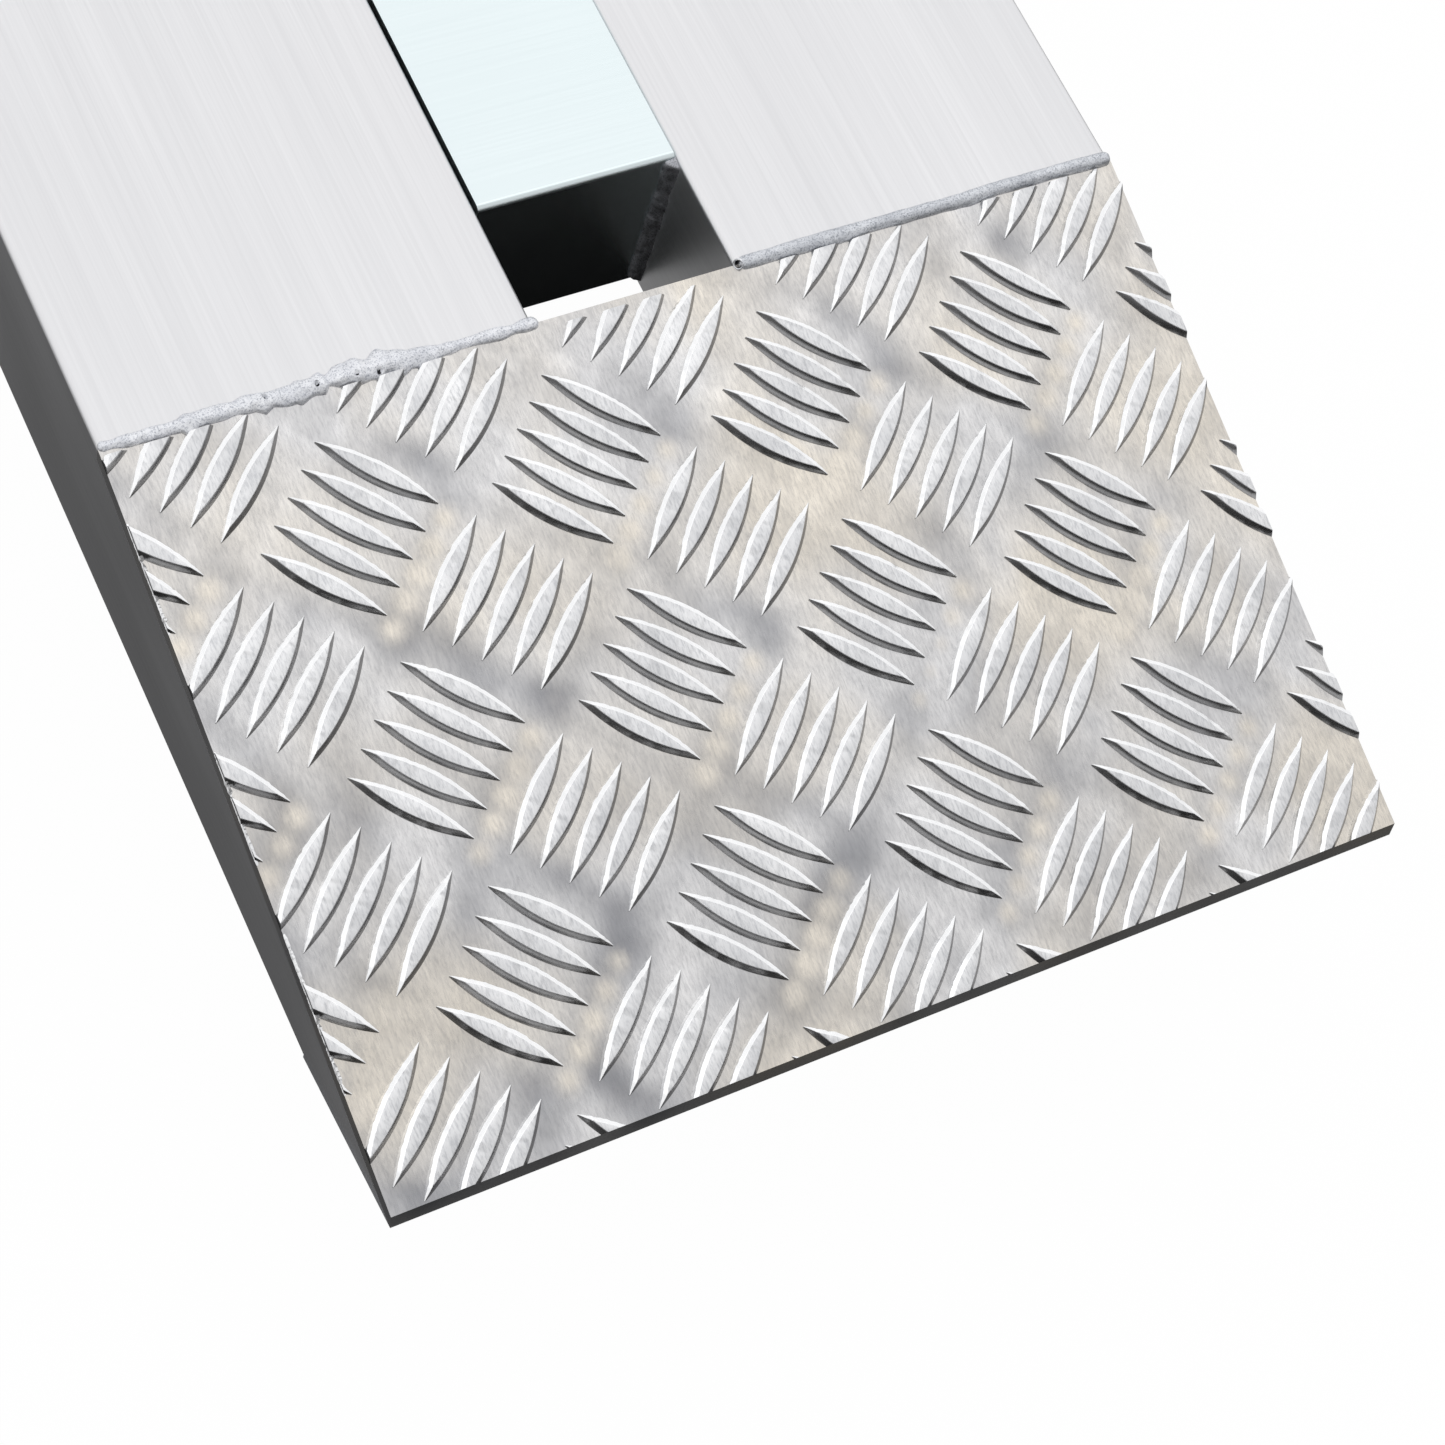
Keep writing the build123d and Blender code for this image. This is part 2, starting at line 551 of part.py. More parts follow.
# ---- Rubber bumpers that keep the folded sections apart
BUMPER_HEAD_Z = BOTTOM / 2
with BuildPart() as bumpers:
    with Locations(*[(sign * RAIL_X, BUMPER_Y, BOTTOM / 2) for sign in (-1, 1)]):
        Cylinder(BUMPER_RADIUS, BOTTOM)
    fillet(bumpers.edges().filter_by(GeomType.CIRCLE).group_by(Axis.Z)[0], radius=BUMPER_EDGE)
    for sign in SIDES.values():
        with Locations(Plane((sign * RAIL_X, BUMPER_Y, 0), x_dir=(1, 0, 0), z_dir=(0, 0, -1))):
            CounterBoreHole(
                BUMPER_SCREW_RADIUS + WASHER_PLAY, BUMPER_BORE_RADIUS, BUMPER_HEAD_Z, depth=BOTTOM
            )
bumpers.part.label = "bumpers"
export_step(bumpers.part, "parts/bumpers.step")

with BuildPart() as bumper_screws:
    for sign in SIDES.values():
        with BuildSketch(Plane.XY.offset(BUMPER_HEAD_Z)):
            with Locations((sign * RAIL_X, BUMPER_Y)):
                Circle(BUMPER_SCREW_RADIUS)
        extrude(amount=BOTTOM + 2 * TUBE_WALL - BUMPER_HEAD_Z)
        with BuildSketch(Plane.XY.offset(BUMPER_HEAD_Z)):
            with Locations((sign * RAIL_X, BUMPER_Y)):
                Circle(BUMPER_HEAD_RADIUS)
        extrude(amount=-BUMPER_HEAD)
        with BuildSketch(Plane.XY.offset(BUMPER_HEAD_Z - BUMPER_HEAD)):
            with Locations((sign * RAIL_X, BUMPER_Y)):
                RegularPolygon(BUMPER_HEX, 6, major_radius=False)
        extrude(amount=BUMPER_HEAD / 2, mode=Mode.SUBTRACT)
bumper_screws.part.label = "bumper_screws"
export_step(bumper_screws.part, "parts/bumper_screws.step")

# ---- Transit latch, on the inner wall of the right rails, in a window between two rungs
LATCH_Z = BOTTOM + LATCH_HEIGHT
LATCH_REACH = 2 * (LATCH_Z - HINGE_Z)  # pivot to catch, once folded
WALL_X = RAIL_GAP / 2
HOOK_X = WALL_X - LATCH_WASHER - LATCH_SIDE_PLAY - LATCH_PLATE
NUT_X = HOOK_X - LATCH_SIDE_PLAY - LATCH_NUT
STUD_X = NUT_X - EDGE_BREAK
CATCH_HEAD_X = HOOK_X - CATCH_HEAD_PLAY

with BuildPart() as latch_stud:
    with BuildSketch(Plane.YZ.offset(STUD_X)):
        with Locations((-LATCH_Y, LATCH_Z)):
            Circle(LATCH_STUD_RADIUS)
    extrude(amount=WALL_X - STUD_X)
latch_stud.part.label = "latch_pivot_stud"
export_step(latch_stud.part, "parts/latch_pivot_stud.step")

with BuildPart() as latch_washer:
    with BuildSketch(Plane.YZ.offset(WALL_X - LATCH_WASHER)):
        with Locations((-LATCH_Y, LATCH_Z)):
            Circle(LATCH_WASHER_RADIUS)
            Circle(LATCH_STUD_RADIUS + WASHER_PLAY, mode=Mode.SUBTRACT)
    extrude(amount=LATCH_WASHER)
latch_washer.part.label = "latch_washer"
export_step(latch_washer.part, "parts/latch_washer.step")

with BuildPart() as latch_nut:
    with BuildSketch(Plane.YZ.offset(NUT_X)):
        with Locations((-LATCH_Y, LATCH_Z)):
            RegularPolygon(LATCH_NUT_HALF_FLATS, 6, major_radius=False)
            Circle(LATCH_STUD_RADIUS + THREAD_PLAY, mode=Mode.SUBTRACT)
    extrude(amount=LATCH_NUT)
latch_nut.part.label = "latch_nut"
export_step(latch_nut.part, "parts/latch_nut.step")

# The hook's mouth runs along the arc that the catch stud takes as the hook swings over it.
mouth_path = CenterArc((-LATCH_Y, LATCH_Z), LATCH_REACH, 0, -MOUTH_ANGLE)
with BuildPart() as latch_hook:
    with BuildSketch(Plane.YZ.offset(HOOK_X)):
        with Locations((-LATCH_Y + LATCH_REACH / 2, LATCH_Z)):
            SlotCenterToCenter(LATCH_REACH, 2 * LATCH_END_RADIUS)
        with Locations((-LATCH_Y, LATCH_Z)):
            Circle(LATCH_STUD_RADIUS + RUNNING_CLEARANCE, mode=Mode.SUBTRACT)
        SlotArc(mouth_path, 2 * (CATCH_RADIUS + CATCH_CLEARANCE), mode=Mode.SUBTRACT)
    extrude(amount=LATCH_PLATE)
latch_hook.part.label = "latch_hook"
export_step(latch_hook.part, "parts/latch_hook.step")

with BuildPart() as catch_stud:
    with BuildSketch(Plane.YZ.offset(CATCH_HEAD_X)):
        with Locations((LATCH_Y, LATCH_Z)):
            Circle(CATCH_RADIUS)
    extrude(amount=WALL_X - CATCH_HEAD_X)
    with BuildSketch(Plane.YZ.offset(CATCH_HEAD_X)):
        with Locations((LATCH_Y, LATCH_Z)):
            Circle(CATCH_HEAD_RADIUS)
    extrude(amount=-CATCH_HEAD)
catch_stud.part.label = "catch_stud"
export_step(catch_stud.part, "parts/catch_stud.step")
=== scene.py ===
# A folding loading ramp of aluminium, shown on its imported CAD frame.
# Metal finishes go on the CAD pieces. The tread plates and the welds get pieces of their own.

import json
import math

import bmesh
import bpy
import numpy as np
from mathutils import Euler, Matrix, Vector, noise


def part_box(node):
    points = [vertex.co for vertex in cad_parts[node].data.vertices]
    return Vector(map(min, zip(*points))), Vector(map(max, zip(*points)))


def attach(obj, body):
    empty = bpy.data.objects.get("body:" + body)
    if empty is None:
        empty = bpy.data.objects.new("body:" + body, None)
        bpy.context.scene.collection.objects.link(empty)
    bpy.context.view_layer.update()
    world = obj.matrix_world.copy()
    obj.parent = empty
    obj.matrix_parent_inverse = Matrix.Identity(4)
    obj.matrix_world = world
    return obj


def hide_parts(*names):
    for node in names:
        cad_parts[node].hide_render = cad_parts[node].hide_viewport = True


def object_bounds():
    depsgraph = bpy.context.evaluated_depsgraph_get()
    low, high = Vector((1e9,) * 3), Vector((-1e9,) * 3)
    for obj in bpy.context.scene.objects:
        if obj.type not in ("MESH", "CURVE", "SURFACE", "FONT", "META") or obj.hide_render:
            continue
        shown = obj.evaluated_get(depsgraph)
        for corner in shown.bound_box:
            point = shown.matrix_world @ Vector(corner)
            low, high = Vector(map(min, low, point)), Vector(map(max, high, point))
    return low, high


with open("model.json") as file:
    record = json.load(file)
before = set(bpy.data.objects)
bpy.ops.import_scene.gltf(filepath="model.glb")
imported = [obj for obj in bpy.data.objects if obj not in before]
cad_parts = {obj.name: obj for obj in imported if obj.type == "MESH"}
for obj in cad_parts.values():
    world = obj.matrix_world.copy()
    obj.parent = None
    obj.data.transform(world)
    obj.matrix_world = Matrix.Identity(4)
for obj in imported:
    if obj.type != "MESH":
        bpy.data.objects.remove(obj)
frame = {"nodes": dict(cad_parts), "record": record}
cad_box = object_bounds()
nodes = frame["nodes"]

# ---- Sizes, in metres unless a name says otherwise
MM = 0.001
TOE_SLOPE = math.radians(12.5)
RAMP_ANGLE = math.radians(12.0)
PLATE = 4.0 * MM
GRID = 1.2 * MM  # mesh step of the tread plates' faces
BAR_LENGTH = 29.2 * MM
BAR_WIDTH = 5.0 * MM
BAR_HEIGHT = 1.5 * MM
BAR_SPACING = 6.95 * MM
BARS_IN_GROUP = 5
PITCH_X = 53.3 * MM
PITCH_Y = 50.6 * MM
TOE_FACET = 0.95 * MM  # width of a bar's steep side towards the toe
RIM_BEVEL = 0.85 * MM  # width of the bevel along a bar's other side, and its fall
RIM_FALL = 0.40 * MM
RIM_FACET = 0.30 * MM  # width of the steep side below that bevel
SINK = 0.5 * MM  # how far a bar or a bead runs into the metal below it
BAR_STATIONS = 52  # cross sections along a bar
BAR_END = 0.996  # the last section, as a share of half the bar's length
BAR_POINT = 0.10 * MM  # half the width left at a bar's points
BAR_SOFT = 0.07 * MM  # rounding along the edges of a bar's top
BAR_TEETH = 0.055 * MM  # raggedness of a bar's bevelled edge
BAR_SEED = 7
LIP_HOLE_RADIUS = 5.5 * MM
LIP_SCREW_RADIUS = 2.55 * MM
BAR_SIDES = ("toe root", "toe side", "toe edge", "top", "rim edge", "bevel", "rim side", "rim root", "foot")
SHADED_SIDES = (0, 1)  # which of those sides get painted shade
HIGHLIGHT_SIDES = (4, 5, 6)  # which of them get a painted highlight

RAIL_LOW, RAIL_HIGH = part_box("lower_rail_left")
TOP = RAIL_HIGH.z
BOTTOM = RAIL_LOW.z
HALF_WIDTH = -RAIL_LOW.x
HALF_GAP = -RAIL_HIGH.x
TOE_LOW, TOE_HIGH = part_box("toe_tread_plate")
LIP_LOW, LIP_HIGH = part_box("lip_tread_plate")
TOE_WELD = Vector((0, TOE_HIGH.y, TOP))
LIP_WELD = Vector((0, LIP_LOW.y, TOP))
FRONT_FACE = PLATE / math.cos(RAMP_ANGLE + TOE_SLOPE)
TOE_LENGTH = (TOE_HIGH.y - TOE_LOW.y - FRONT_FACE * math.sin(RAMP_ANGLE)) / math.cos(TOE_SLOPE)
LIP_LENGTH = (LIP_HIGH.y - LIP_LOW.y) / math.cos(RAMP_ANGLE)


def tilted(origin, angle):
    """Axes of a tread face: x across the ramp, y up it in the face, z out of the face."""
    along = Vector((0, math.cos(angle), math.sin(angle)))
    out = Vector((0, -math.sin(angle), math.cos(angle)))
    matrix = Matrix((Vector((1, 0, 0)), along, out)).transposed().to_4x4()
    matrix.translation = origin
    return matrix


TOE_AXES = tilted(TOE_WELD, TOE_SLOPE)
LIP_AXES = tilted(LIP_WELD, -RAMP_ANGLE)
TOE_TREAD_START = (44.5 * MM - HALF_WIDTH, -31.7 * MM)  # the middle of one group of bars
LIP_TREAD_START = (0.0, 57.0 * MM)
LIP_HOLES = [(x * 2 * PITCH_X, LIP_TREAD_START[1] + PITCH_Y / 2, LIP_HOLE_RADIUS) for x in (-1, 1)]
LIP_SCREW_HOLES = [
    (side * x * PITCH_X, LIP_TREAD_START[1] + y * PITCH_Y, LIP_SCREW_RADIUS)
    for side in (-1, 1)
    for x, y in ((1.0, 0.5), (0.5, 1.0), (1.5, 1.0))
]


# ---------------------------------------------------------------- node materials
class Shader:
    """A small wrapper that builds one principled material from nodes."""

    def __init__(self, name, metallic, roughness, color):
        self.material = bpy.data.materials.new(name)
        self.material.use_nodes = True
        self.tree = self.material.node_tree
        self.bsdf = self.tree.nodes["Principled BSDF"]
        self.bsdf.inputs["Metallic"].default_value = metallic
        self.bsdf.inputs["Roughness"].default_value = roughness
        self.bsdf.inputs["Base Color"].default_value = (*color, 1)
        self.material.diffuse_color = (*color, 1)
        self.place = self.add("ShaderNodeTexCoord").outputs["Object"]

    def add(self, kind, **settings):
        node = self.tree.nodes.new(kind)
        for key, value in settings.items():
            setattr(node, key, value)
        return node

    def link(self, output, target):
        self.tree.links.new(output, target)

    def noise(self, scale, detail=3.0, roughness=0.6):
        """Noise whose scale is a count per metre along x, y and z."""
        mapping = self.add("ShaderNodeMapping")
        mapping.inputs["Scale"].default_value = scale
        self.link(self.place, mapping.inputs["Vector"])
        texture = self.add("ShaderNodeTexNoise")
        texture.inputs["Scale"].default_value = 1.0
        texture.inputs["Detail"].default_value = detail
        texture.inputs["Roughness"].default_value = roughness
        self.link(mapping.outputs["Vector"], texture.inputs["Vector"])
        return texture.outputs["Fac"]

    def spread(self, value, low, high, from_low=0.3, from_high=0.7):
        """A value stretched from one range, by default a noise's usual one, to another."""
        node = self.add("ShaderNodeMapRange")
        node.inputs["From Min"].default_value = from_low
        node.inputs["From Max"].default_value = from_high
        node.inputs["To Min"].default_value = low
        node.inputs["To Max"].default_value = high
        self.link(value, node.inputs["Value"])
        return node.outputs["Result"]

    def mix(self, factor, a, b):
        """A colour between a and b. Each argument is a node's output or a plain value."""
        node = self.add("ShaderNodeMix", data_type="RGBA")
        for index, value in ((0, factor), (6, a), (7, b)):
            if isinstance(value, bpy.types.NodeSocket):
                self.link(value, node.inputs[index])
            elif index == 0:
                node.inputs[index].default_value = value
            else:
                node.inputs[index].default_value = (*value, 1)
        return node.outputs[2]

    def attribute(self, name):
        return self.add("ShaderNodeAttribute", attribute_name=name).outputs["Fac"]

    def color(self, output):
        self.link(output, self.bsdf.inputs["Base Color"])

    def rough(self, output):
        self.link(output, self.bsdf.inputs["Roughness"])

    def bump(self, height, strength, distance):
        """Adds relief on top of any that the material already has."""
        node = self.add("ShaderNodeBump")
        node.inputs["Strength"].default_value = strength
        node.inputs["Distance"].default_value = distance
        self.link(height, node.inputs["Height"])
        before = self.bsdf.inputs["Normal"].links
        if before:
            self.link(before[0].from_socket, node.inputs["Normal"])
        self.link(node.outputs["Normal"], self.bsdf.inputs["Normal"])


def brushed(name, color, dark, grain, coarse, roughness, strength, streaks=(0.55, 0.35)):
    """Extruded, rolled or sawn aluminium: fine streaks over broad ones, both along one direction."""
    made = Shader(name, 1.0, sum(roughness) / 2, color)
    fine = made.noise(grain, detail=4.0)
    broad = made.noise(coarse, detail=2.0)
    patch = made.noise((14, 6, 14), detail=2.0)
    streaky = made.mix(made.spread(fine, 0.0, streaks[0]), color, dark)
    made.color(made.mix(made.spread(broad, 0.0, streaks[1]), streaky, dark))
    made.rough(made.spread(patch, *roughness))
    made.bump(fine, strength, 0.02 * MM)
    return made.material


def tread_material(name, base, cool, warm, roughness, scratched):
    """Rolled tread metal with short scratches up the ramp, mottled by the cool and warm attributes, which
    hold painted dark reflections and painted sheen.
    """
    made = Shader(name, 1.0, sum(roughness) / 2, base)
    scratch = made.noise((2100, 170, 2100), detail=3.0, roughness=0.7)
    grain = made.noise((1300, 40, 1300), detail=4.0)
    cloud = made.noise((60, 42, 60), detail=4.0)
    toned = made.mix(made.attribute("cool"), base, cool)
    toned = made.mix(made.attribute("warm"), toned, warm)
    worn = made.mix(made.spread(cloud, 0.0, 0.35), toned, cool)
    worn = made.mix(made.spread(grain, 0.0, 0.25), worn, cool)
    made.color(made.mix(made.spread(scratch, 0.0, scratched, 0.46, 0.66), worn, cool))
    made.rough(made.spread(cloud, *roughness))
    made.bump(scratch, 0.18, 0.03 * MM)
    made.bump(grain, 0.16, 0.03 * MM)
    return made.material


def weld_material(name, bright, dull, specks):
    """Lumpy weld metal that is bright in places, dull in others and specked all over."""
    made = Shader(name, 1.0, 0.48, bright)
    speckle = made.noise((2600, 2600, 2600), detail=3.0)
    lumps = made.noise((700, 700, 700), detail=3.0)
    soot = made.noise((190, 190, 190), detail=3.0)
    clean = made.mix(made.spread(soot, 0.0, 0.6), bright, dull)
    made.color(made.mix(made.spread(speckle, 0.0, 0.8, 0.48, 0.66), clean, specks))
    made.rough(made.spread(lumps, 0.40, 0.60))
    made.bump(speckle, 0.6, 0.08 * MM)
    made.bump(lumps, 0.5, 0.14 * MM)
    return made.material


def zinc_material():
    made = Shader("zinc_plate", 1.0, 0.38, (0.58, 0.59, 0.60))
    spangle = made.noise((220, 220, 220), detail=3.0)
    fine = made.noise((1800, 1800, 1800), detail=3.0)
    made.color(made.mix(made.spread(spangle, 0.0, 1.0), (0.62, 0.63, 0.65), (0.46, 0.46, 0.47)))
    made.rough(made.spread(spangle, 0.28, 0.5))
    made.bump(fine, 0.2, 0.04 * MM)
    return made.material


def fastener_material():
    made = Shader("turned_fastener", 1.0, 0.3, (0.64, 0.64, 0.62))
    stain = made.noise((300, 300, 300), detail=3.0)
    turned = made.noise((2600, 400, 2600), detail=3.0)
    made.color(made.mix(made.spread(stain, 0.0, 1.0), (0.68, 0.68, 0.66), (0.50, 0.49, 0.46)))
    made.rough(made.spread(turned, 0.2, 0.42))
    made.bump(turned, 0.2, 0.03 * MM)
    return made.material


def rubber_material():
    made = Shader("moulded_rubber", 0.0, 0.75, (0.035, 0.035, 0.036))
    fine = made.noise((2200, 2200, 2200), detail=4.0)
    dust = made.noise((120, 120, 120), detail=3.0)
    made.color(made.mix(made.spread(dust, 0.0, 0.6), (0.025, 0.025, 0.026), (0.10, 0.098, 0.095)))
    made.rough(made.spread(dust, 0.62, 0.88))
    made.bump(fine, 0.35, 0.08 * MM)
    return made.material


RAIL_METAL = brushed(
    "rail_brushed",
    (0.83, 0.83, 0.838),
    (0.60, 0.60, 0.612),
    (1500, 14, 1500),
    (70, 2.2, 70),
    (0.30, 0.42),
    0.16,
    (0.30, 0.20),
)
RUNG_METAL = brushed(
    "rung_brushed",
    (0.85, 0.935, 0.945),
    (0.80, 0.89, 0.90),
    (12, 1300, 1300),
    (3, 90, 90),
    (0.20, 0.28),
    0.08,
)
PLATE_METAL = brushed(
    "plate_sawn",
    (0.74, 0.75, 0.77),
    (0.52, 0.53, 0.55),
    (60, 1200, 1600),
    (20, 100, 200),
    (0.34, 0.5),
    0.3,
)
# The cool colour is both the painted dark reflection carried by the cool attribute and the colour of
# scratches and grain; the warm colour is a painted sheen
TREAD_METAL = tread_material(
    "tread_rolled",
    (0.93, 0.92, 0.91),
    (0.23, 0.235, 0.255),
    (1.0, 0.925, 0.80),
    (0.20, 0.32),
    0.24,
)
BAR_METAL = tread_material(
    "tread_bar",
    (0.88, 0.88, 0.88),
    (0.42, 0.43, 0.45),
    (0.95, 0.93, 0.88),
    (0.26, 0.40),
    0.55,
)
# Painted highlight: white metal for the bevel side of the bars, where the light catches them
RIM_HIGHLIGHT = tread_material(
    "tread_rim_painted_highlight",
    (1.0, 1.0, 1.0),
    (0.88, 0.89, 0.90),
    (1.0, 0.99, 0.97),
    (0.16, 0.30),
    0.4,
)
# Painted shade: dark metal for the bars' steep sides towards the toe, which face away from the light
TOE_SIDE_SHADE = tread_material(
    "tread_toe_side_painted_shade",
    (0.38, 0.375, 0.37),
    (0.20, 0.205, 0.22),
    (0.5, 0.49, 0.47),
    (0.18, 0.26),
    0.3,
)
WELD_METAL = weld_material("weld_silver", (0.93, 0.94, 0.96), (0.70, 0.72, 0.77), (0.36, 0.38, 0.43))
DULL_WELD = weld_material("weld_dull", (0.80, 0.82, 0.85), (0.52, 0.54, 0.58), (0.26, 0.28, 0.32))
# Greyer than the beads: partly a dull weld, partly painted shade of the dark corner where the fillets sit
FILLET_WELD = weld_material("weld_fillet", (0.56, 0.57, 0.60), (0.36, 0.37, 0.39), (0.20, 0.21, 0.23))
# Painted shade: near-black weld metal for the insides of pits and of a bead's open end
PIT_SHADE = weld_material("weld_pit_painted_shade", (0.05, 0.05, 0.055), (0.02, 0.02, 0.022), (0.01, 0.01, 0.01))
FINISHES = {
    "rail_aluminium": RAIL_METAL,
    "rung_aluminium": RUNG_METAL,
    "plate_aluminium": PLATE_METAL,
    "tread_aluminium": TREAD_METAL,
    "weld_metal": WELD_METAL,
    "zinc_steel": zinc_material(),
    "fastener_steel": fastener_material(),
    "rubber": rubber_material(),
}
for entry in frame["record"]["subparts"]:
    part = nodes[entry["node"]]
    if not part.material_slots:
        part.data.materials.append(None)
    for material_slot in part.material_slots:
        material_slot.material = FINISHES[entry["material_slot"]]


# ---------------------------------------------------------------- mesh helpers
def make_object(name, vertices, faces, materials, matrix=Matrix.Identity(4), face_materials=None):
    """A mesh object. face_materials holds the index of each face's material."""
    mesh = bpy.data.meshes.new(name)
    mesh.from_pydata([matrix @ Vector(v) for v in vertices], [], faces)
    for material in materials:
        mesh.materials.append(material)
    if face_materials is not None:
        mesh.polygons.foreach_set("material_index", face_materials)
    made = bpy.data.objects.new(name, mesh)
    bpy.context.scene.collection.objects.link(made)
    return made


def smooth(piece, angle):
    """Smooth shading, but sharp at edges that turn by more than the angle, in degrees."""
    piece.data.polygons.foreach_set("use_smooth", [True] * len(piece.data.polygons))
    piece.data.set_sharp_from_angle(angle=math.radians(angle))


def outward(piece):
    """Turns every face's normal outward."""
    work = bmesh.new()
    work.from_mesh(piece.data)
    bmesh.ops.recalc_face_normals(work, faces=work.faces)
    work.to_mesh(piece.data)
    work.free()


def loft(rings):
    """Vertices and faces of a closed solid through rings that all have the same count of points."""
    count = len(rings[0])
    vertices = [point for ring in rings for point in ring]
    faces = []
    for i in range(len(rings) - 1):
        for j in range(count):
            k = (j + 1) % count
            faces.append((i * count + j, i * count + k, (i + 1) * count + k, (i + 1) * count + j))
    faces.append(tuple(range(count)))
    faces.append(tuple(range((len(rings) - 1) * count, len(rings) * count)))
    return vertices, faces


def join(pieces, name):
    """One object from several, keeping each one's materials."""
    bpy.ops.object.select_all(action="DESELECT")
    for piece in pieces:
        piece.select_set(True)
    bpy.context.view_layer.objects.active = pieces[0]
    bpy.ops.object.join()
    pieces[0].name = name
    pieces[0].data.name = name
    return pieces[0]


# ---------------------------------------------------------------- tread plates
def bar_places(start, low, high):
    """(x, y, turn) of each bar of the five-bar pattern between two heights of a tread face."""
    places = []
    middle = (BARS_IN_GROUP - 1) / 2
    groups = range(-5, 6)  # more than reach across a plate from its start
    reach = BAR_LENGTH / 2 * 0.7  # of a bar along x or y, as it lies at 45 degrees
    for turn, shift in ((-math.pi / 4, 0.0), (math.pi / 4, 0.5)):
        for column in groups:
            for row in groups:
                for bar in range(BARS_IN_GROUP):
                    off = (bar - middle) * BAR_SPACING
                    x = start[0] + (column + shift) * PITCH_X - off * math.sin(turn)
                    y = start[1] + (row + shift) * PITCH_Y + off * math.cos(turn)
                    if abs(x) < HALF_WIDTH + reach and low - reach < y < high + reach:
                        places.append((x, y, turn))
    return places


def tread_bar(x, y, turn, random):
    """One raised bar: a pointed lens, steep towards the toe and with a ragged bevel up the ramp that gets a
    painted highlight.
    """
    rings = []
    cosine, sine = math.cos(turn), math.sin(turn)
    teeth = random.normal(0, 1, (BAR_STATIONS, 2)) * BAR_TEETH
    facets = TOE_FACET + RIM_BEVEL + RIM_FACET
    for i in range(BAR_STATIONS):
        t = max(-BAR_END, min(BAR_END, math.cos(math.pi * i / (BAR_STATIONS - 1))))
        half = BAR_WIDTH / 2 * (1 - t * t) + BAR_POINT
        share = min(1.0, 2 * half / (facets + 0.1 * MM))
        height = BAR_HEIGHT * share**0.9
        soft = BAR_SOFT * share
        ragged, lifted = teeth[i] * share
        low_edge = -half + TOE_FACET * share
        bevel_foot = half - RIM_FACET * share + ragged
        high_edge = half - (RIM_FACET + RIM_BEVEL) * share + 0.5 * ragged
        section = [
            (-half, -SINK),
            (-half, 0.0),
            (low_edge - soft, height - 2 * soft),
            (low_edge + soft, height),
            (high_edge - soft, height),
            (high_edge + soft + 0.5 * ragged, height - soft),
            (bevel_foot, height - RIM_FALL * share + lifted),
            (half, 0.0),
            (half, -SINK),
        ]
        along = t * BAR_LENGTH / 2
        rings.append(
            [(x + along * cosine - v * sine, y + along * sine + v * cosine, z) for v, z in section]
        )
    return loft(rings)


def bar_mesh(name, places, low, high, bare, axes):
    """All the bars of a plate as one mesh, cut off at the plate's edges and left out round bare holes."""
    random = np.random.default_rng(BAR_SEED)
    finishes = [BAR_METAL, RIM_HIGHLIGHT, TOE_SIDE_SHADE]
    work = bmesh.new()
    for x, y, turn in places:
        if any(math.hypot(x - bx, y - by) < radius + BAR_WIDTH / 2 for bx, by, radius in bare):
            continue
        vertices, faces = tread_bar(x, y, turn, random)
        added = [work.verts.new(v) for v in vertices]
        for index, face in enumerate(faces):
            made_face = work.faces.new([added[i] for i in face])
            side = index % len(BAR_SIDES)
            # The bevel sides get the painted highlight and the toe sides the painted shade
            if len(face) == 4 and side in HIGHLIGHT_SIDES:
                made_face.material_index = finishes.index(RIM_HIGHLIGHT)
            if len(face) == 4 and side in SHADED_SIDES:
                made_face.material_index = finishes.index(TOE_SIDE_SHADE)
    for point, normal in (
        ((-HALF_WIDTH, 0, 0), (-1, 0, 0)),
        ((HALF_WIDTH, 0, 0), (1, 0, 0)),
        ((0, low, 0), (0, -1, 0)),
        ((0, high, 0), (0, 1, 0)),
    ):
        geometry = work.verts[:] + work.edges[:] + work.faces[:]
        cut = bmesh.ops.bisect_plane(
            work, geom=geometry, plane_co=point, plane_no=normal, clear_outer=True, dist=1e-7
        )
        edges = [e for e in cut["geom_cut"] if isinstance(e, bmesh.types.BMEdge)]
        bmesh.ops.holes_fill(work, edges=edges, sides=0)
    bmesh.ops.recalc_face_normals(work, faces=work.faces)
    mesh = bpy.data.meshes.new(name)
    work.to_mesh(mesh)
    work.free()
    mesh.transform(axes)
    for finish in finishes:
        mesh.materials.append(finish)
    made = bpy.data.objects.new(name, mesh)
    bpy.context.scene.collection.objects.link(made)
    return made


END_OFFSET = 1.6 * MM  # from a bar's end to the middle of its painted dark reflection and its dip
NEAR_PATCH = 4.8 * MM  # spread of the painted dark reflection at the end nearer the toe
FAR_PATCH = 3.6 * MM  # and at the other end, where it is fainter
FAR_STRENGTH = 0.6
DIP_SPREAD = 2.3 * MM
DIP_DEPTH = 0.22 * MM
GLINT_OFFSET = 3.2 * MM  # from a bar's lower end to the warm glint below it
GLINT_SPREAD = 1.9 * MM
GLINT_STRENGTH = 0.9
GROUP_SPREAD = 6.0 * MM  # of the shallow dish that a bar stands in
GROUP_DEPTH = 0.10 * MM
WAVINESS = 0.08 * MM
DARK_CORNER_LENGTH = 150 * MM  # from the weld down to where a toe plate is darkest
DARK_CORNER_WIDTH = 180 * MM


def hump(points, centre, spread):
    """A bell-shaped hump over a tread face, 1 at its centre."""
    return np.exp(-((points - centre) ** 2).sum(1) / (2 * spread**2))


def wavering(points, scale_x, scale_y, seed):
    """Smooth noise over a tread face, either side of 0."""
    return np.array([noise.noise(Vector((x * scale_x, y * scale_y, seed))) for x, y in points])


